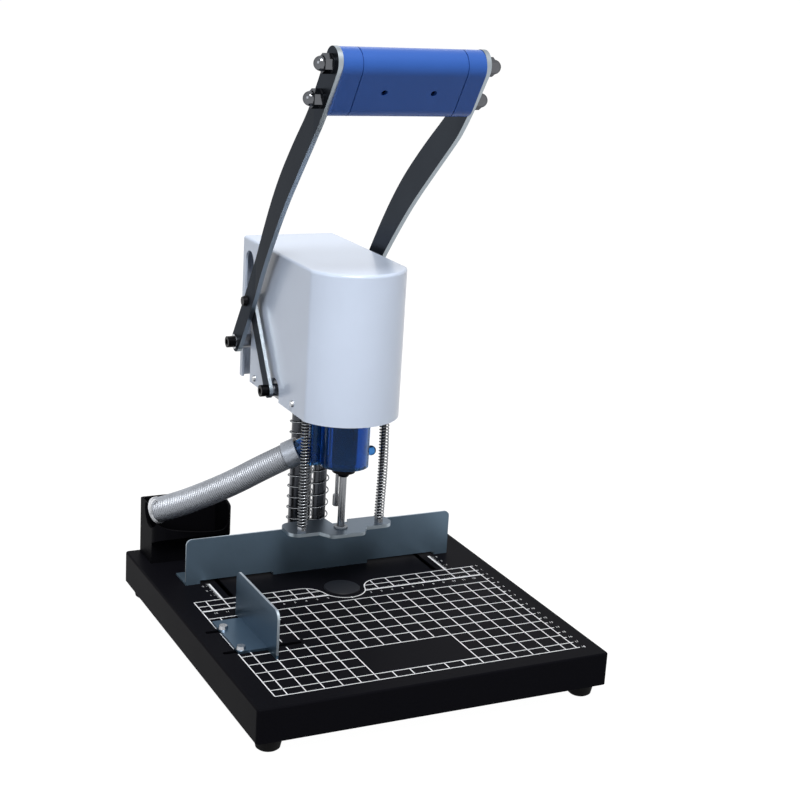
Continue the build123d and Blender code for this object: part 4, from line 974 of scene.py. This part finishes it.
@dataclass
class Springs:
    """The round-wire return springs and the two press springs."""

    palette: Palette
    returns: tuple[Coil, ...] = (
        Coil("return_spring_main", "main_spring", (0, 90), 1.3, 11.3, 16, 1.5, 148.5),
        Coil("return_spring_guide", "guide_spring", (0, 48), 1.1, 7.8, 11, 1.5, 106.5),
    )
    presses: tuple[Coil, ...] = (
        Coil("press_spring_left", "press_springs", (-35.8, 0), 1.1, 3.8, 36, 57.0, 154.0),
        Coil("press_spring_right", "press_springs", (35.8, 0), 1.1, 3.8, 36, 57.0, 154.0, 1.0),
    )
    head_travel: float = 46.6
    plate_travel: float = 40.0
    steps_per_turn: int = 28
    sides: int = 12
    end_gap: float = 0.8
    play: float = 0.05

    def _wind(self, tree: Tree, coil: Coil) -> Object:
        """Wind one spring with a closed turn at each end.

        Args:
            tree: The round wire tree.
            coil: The spring's sizes.

        Returns:
            The spring.
        """
        closed = coil.wire + self.end_gap
        start = coil.low + coil.wire / 2 + self.play
        length = coil.high - coil.low - coil.wire - 2 * self.play
        pitch = (length - 2 * closed) / (coil.turns - 2)
        count = coil.turns * self.steps_per_turn + 1
        curve = bpy.data.curves.new(coil.name, "CURVE")
        curve.dimensions = "3D"
        spline = curve.splines.new("POLY")
        spline.points.add(count - 1)
        for i in range(count):
            turn = i / self.steps_per_turn
            if turn <= 1:
                rise = closed * turn
            elif turn >= coil.turns - 1:
                rise = length - closed * (coil.turns - turn)
            else:
                rise = closed + pitch * (turn - 1)
            angle = 2 * math.pi * turn
            lean = coil.bow * math.sin(math.pi * i / (count - 1)) ** 2
            x = coil.axis[0] + lean + coil.radius * math.cos(angle)
            dy = coil.axis[1] + coil.radius * math.sin(angle)
            spline.points[i].co = (*place(x, dy, start + rise), 1.0)
        carrier = new_object("carrier", curve)
        return tree.apply(
            carrier,
            coil.name,
            Radius=coil.wire / 2 * MM,
            Sides=self.sides,
            Material=self.palette.get(Finish.WIRE),
        )

    def make(self) -> list[Object]:
        """Wind all the springs and attach each to the base or the head."""
        tree, coils = wire_tree(), (*self.returns, *self.presses)
        springs = [self._wind(tree, coil) for coil in coils]
        for spring, coil in zip(springs, coils):
            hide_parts(coil.node)
            if coil in self.returns:
                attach(spring, "base")
                tuple(place(0, 90, coil.low))
                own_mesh(spring)
            else:
                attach(spring, "head")
                tuple(place(0, 0, coil.high))
                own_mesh(spring)
        return springs


# -------- hose
@dataclass
class Hose:
    """The ribbed suction hose from the chamber's nozzle into the chip bin."""

    palette: Palette
    route: tuple[Triple, ...] = (
        (-33.0, 19.5, 118.0),
        (-55.0, 32.5, 103.5),
        (-80.0, 51.5, 82.5),
        (-104.0, 71.5, 65.0),
        (-119.0, 86.0, 54.5),
        (-132.0, 100.0, 46.0),
    )
    length: float = 147.0
    diameter: float = 22.0
    bore: float = 18.8
    ring_pitch: float = 1.8
    ring_depth: float = 0.8
    ring_steps: int = 6
    sides: int = 40
    tie_width: float = 2.4
    tie_thickness: float = 0.8
    tie_inset: float = 2.2
    tie_sides: int = 56
    loop_wire: float = 0.75
    loop_sides: int = 10
    loop: tuple[Triple, ...] = (
        (-133.0, 92.0, 57.6),
        (-136.5, 89.5, 60.0),
        (-139.6, 88.0, 57.5),
        (-140.2, 87.5, 52.5),
        (-138.7, 88.5, 49.5),
    )

    def _centreline(self) -> list[Vector]:
        """Points of the route's smooth line, as Blender gives them."""
        curve = bpy.data.curves.new("hose_line", "CURVE")
        curve.dimensions = "3D"
        curve.resolution_u = 40
        spline = curve.splines.new("NURBS")
        spline.points.add(len(self.route) - 1)
        for point, where in zip(spline.points, self.route):
            point.co = (*place(*where), 1.0)
        spline.order_u = 3
        spline.use_endpoint_u = True
        carrier = new_object("hose_line", curve)
        points = [v.co.copy() for v in evaluated_mesh(carrier).vertices]
        bpy.data.objects.remove(carrier)
        return points

    @staticmethod
    def _walk(points: Sequence[Vector], step: float) -> tuple[list[Vector], float]:
        """Places at even steps along a line, and the line's length."""
        spans = [(b - a).length for a, b in zip(points, points[1:])]
        total = sum(spans)
        count = max(int(total / step), 2)
        places, i, gone = [], 0, 0.0
        for k in range(count + 1):
            want = total * k / count
            while i < len(spans) - 1 and gone + spans[i] < want:
                gone += spans[i]
                i += 1
            share = (want - gone) / spans[i] if spans[i] else 0.0
            places.append(points[i].lerp(points[i + 1], min(share, 1.0)))
        return places, total

    def _tie(self, end: Vector, ahead: Vector) -> Object:
        """Make the cable tie round the lower end, with its free loop over the rim.

        Args:
            end: Where the hose ends.
            ahead: The way the hose runs there.

        Returns:
            The tie.
        """
        side_way = ahead.cross(Vector((0, 0, 1))).normalized()
        other = side_way.cross(ahead)
        middle = end - ahead * (self.tie_inset * MM)
        inner = self.diameter / 2 * MM
        section = [
            (inner + out * self.tie_thickness * MM, along * self.tie_width / 2 * MM)
            for out, along in ((0, -1), (1, -1), (1, 1), (0, 1))
        ]

        def band(mesh: BMesh) -> None:
            """The strap round the hose and the round loop."""
            rings = []
            for i in range(self.tie_sides):
                a = 2 * math.pi * i / self.tie_sides
                out = side_way * math.cos(a) + other * math.sin(a)
                rings.append([mesh.verts.new(middle + out * r + ahead * h) for r, h in section])
            loft(mesh, [*rings, rings[0]], False)
            points = self._smooth([place(*p) for p in self.loop])
            tube(mesh, points, [self.loop_wire * MM] * len(points), self.loop_sides)

        piece = mesh_piece("hose_tie", band)
        self.palette.dress(piece, Finish.NYLON)
        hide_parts("cable_tie")
        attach(piece, "base")
        return piece

    @staticmethod
    def _smooth(points: Sequence[Vector], steps: int = 8) -> list[Vector]:
        """A line that passes smoothly through points."""
        ends = [points[0] * 2 - points[1], *points, points[-1] * 2 - points[-2]]
        line = []
        for a, b, c, d in zip(ends, ends[1:], ends[2:], ends[3:]):
            for i in range(steps):
                t = i / steps
                bend, sway = 2 * a - 5 * b + 4 * c - d, 3 * b - a - 3 * c + d
                line.append(0.5 * (2 * b + (c - a) * t + bend * t**2 + sway * t**3))
        return [*line, points[-1]]

    def make(self, cuff: Object) -> Object:
        """Make the hose and its tie.

        Args:
            cuff: The CAD node of its upper cuff; not used.

        Returns:
            The hose.
        """
        line = self._centreline()
        places, length = self._walk(line, self.ring_pitch / self.ring_steps * MM)
        tie = self._tie(places[-1], (places[-1] - places[-4]).normalized())

        def skin(mesh: BMesh) -> None:
            """Outer rings and the smooth bore, joined at both mouths."""
            outer = []
            for k in range(len(places)):
                phase = 2 * math.pi * (k * length / (len(places) - 1)) / (self.ring_pitch * MM)
                hollow = self.ring_depth * (0.5 - 0.5 * math.cos(phase))
                outer.append((self.diameter / 2 - hollow) * MM)
            tube(mesh, places, outer, self.sides, self.bore / 2 * MM)

        piece = mesh_piece("suction_hose", skin, smooth=80.0)
        self.palette.dress(piece, Finish.HOSE)
        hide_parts("hose")
        start, end = tuple(place(*self.route[0])), tuple(place(*self.route[-2]))
        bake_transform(piece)
        return piece


# -------- studio
@dataclass
class Studio:
    """Camera, lamps, floor and backdrop."""

    eye: Triple = (-0.54984, -1.14692, 0.58104)
    turn: Triple = (73.88745, -3.38239, -26.03653)
    lens: float = 72.8677
    sensor: float = 36.0
    clip: tuple[float, float] = (0.01, 50.0)
    aim: Triple = (0.0, 0.0, 0.22)
    floor_size: float = 40.0
    floor_greys: tuple[float, float] = (0.42, 0.46)
    sky: Colour = (0.93, 0.96, 1.0)
    lamps: tuple[tuple[str, Triple, float, float, Colour], ...] = (
        ("key", (-0.27, -1.08, 2.2), 1.0, 62.0, (1.0, 0.995, 0.985)),
        ("side", (-1.5, -0.6, 0.9), 0.9, 6.0, (0.95, 0.97, 1.0)),
        ("back", (0.5, 1.4, 1.5), 0.9, 3.0, (0.95, 0.97, 1.0)),
    )
    ambient: float = 0.12
    seen_white: float = 0.80
    white_level: float = 1.24

    def camera(self) -> None:
        """Stand the camera where the photograph was taken."""
        lens = bpy.data.cameras.new("camera")
        lens.lens = self.lens
        lens.sensor_width = self.sensor
        lens.clip_start, lens.clip_end = self.clip
        body = new_object("camera", lens)
        body.location = self.eye
        body.rotation_euler = Euler([math.radians(a) for a in self.turn], "XYZ")
        bpy.context.scene.camera = body

    def light(self) -> None:
        """Hang the lamps round the machine and aim them at its middle."""
        for name, where, size, power, colour in self.lamps:
            lamp = bpy.data.lights.new(name, "AREA")
            lamp.shape = "SQUARE"
            lamp.size = size
            lamp.energy = power
            lamp.color = colour
            stand = new_object(name, lamp)
            stand.location = where
            way = Vector(self.aim) - Vector(where)
            stand.rotation_euler = way.to_track_quat("-Z", "Y").to_euler()

    @staticmethod
    def _seen(tree: NodeTree) -> NodeSocket:
        """One for camera, glossy and transmission rays, which see the pale background."""
        path = tree.nodes.new("ShaderNodeLightPath")
        total = path.outputs["Is Camera Ray"]
        for name in ("Is Glossy Ray", "Is Transmission Ray"):
            node = tree.nodes.new("ShaderNodeMath")
            node.operation = "MAXIMUM"
            tree.links.new(total, node.inputs[0])
            tree.links.new(path.outputs[name], node.inputs[1])
            total = node.outputs[0]
        return total

    def floor(self) -> None:
        """Lay a pale floor that looks white and still takes the shadow."""

        def plane(mesh: BMesh) -> None:
            """One square at floor height."""
            bmesh.ops.create_grid(mesh, x_segments=1, y_segments=1, size=self.floor_size / 2)

        floor = mesh_piece("floor", plane)
        paint = Paint("floor_paper")
        grain = paint.noise(paint.place(), scale=60.0)
        paint.shade(Base_Color=paint.mix(grain, *map(grey, self.floor_greys)), Roughness=0.9)
        paint.bump(grain, depth=0.02)
        white = paint.node("Emission", inputs={"Color": grey(1.0), "Strength": self.white_level})
        share = Sock(paint.tree, self._seen(paint.tree)) * self.seen_white
        parts = {0: share, 1: paint.out(paint.shader), 2: paint.out(white)}
        blend = paint.node("MixShader", inputs=parts)
        out = next(n for n in paint.tree.nodes if n.type == "OUTPUT_MATERIAL")
        paint.set(out.inputs[0], paint.out(blend))
        floor.data.materials.append(paint.material)

    def world(self) -> None:
        """A white backdrop where it is seen, and a plain soft light elsewhere."""
        world = bpy.data.worlds.new("backdrop")
        bpy.context.scene.world = world
        world.use_nodes = True
        tree = world.node_tree
        shader = next(n for n in tree.nodes if n.type == "BACKGROUND")
        seen = tree.nodes.new("ShaderNodeBackground")
        seen.inputs["Color"].default_value = (1, 1, 1, 1)
        shader.inputs["Color"].default_value = (*self.sky, 1)
        shader.inputs["Strength"].default_value = self.ambient
        blend = tree.nodes.new("ShaderNodeMixShader")
        tree.links.new(self._seen(tree), blend.inputs[0])
        tree.links.new(shader.outputs[0], blend.inputs[1])
        tree.links.new(seen.outputs[0], blend.inputs[2])
        out = next(n for n in tree.nodes if n.type == "OUTPUT_WORLD")
        tree.links.new(blend.outputs[0], out.inputs[0])

    def make(self) -> None:
        """Set up the studio."""
        bpy.context.scene.view_settings.view_transform = "Standard"
        self.camera()
        self.light()
        self.floor()
        self.world()


def main() -> None:
    """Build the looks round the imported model."""
    logging.basicConfig(level=logging.INFO, format="%(name)s: %(message)s")
    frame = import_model()
    palette = Palette()
    for finish, names in NODE_FINISH.items():
        for name in names.split():
            palette.dress(frame["nodes"][name], finish)
    log.info("%d finishes given", len(NODE_FINISH))
    Studio().make()
    hose = Hose(palette).make(frame["nodes"]["hose_cuff"])
    for piece in (hose, *Springs(palette).make(), *TablePrint(palette).make()):
        log.info("made %s", piece.name)


if __name__ == "__main__":
    main()
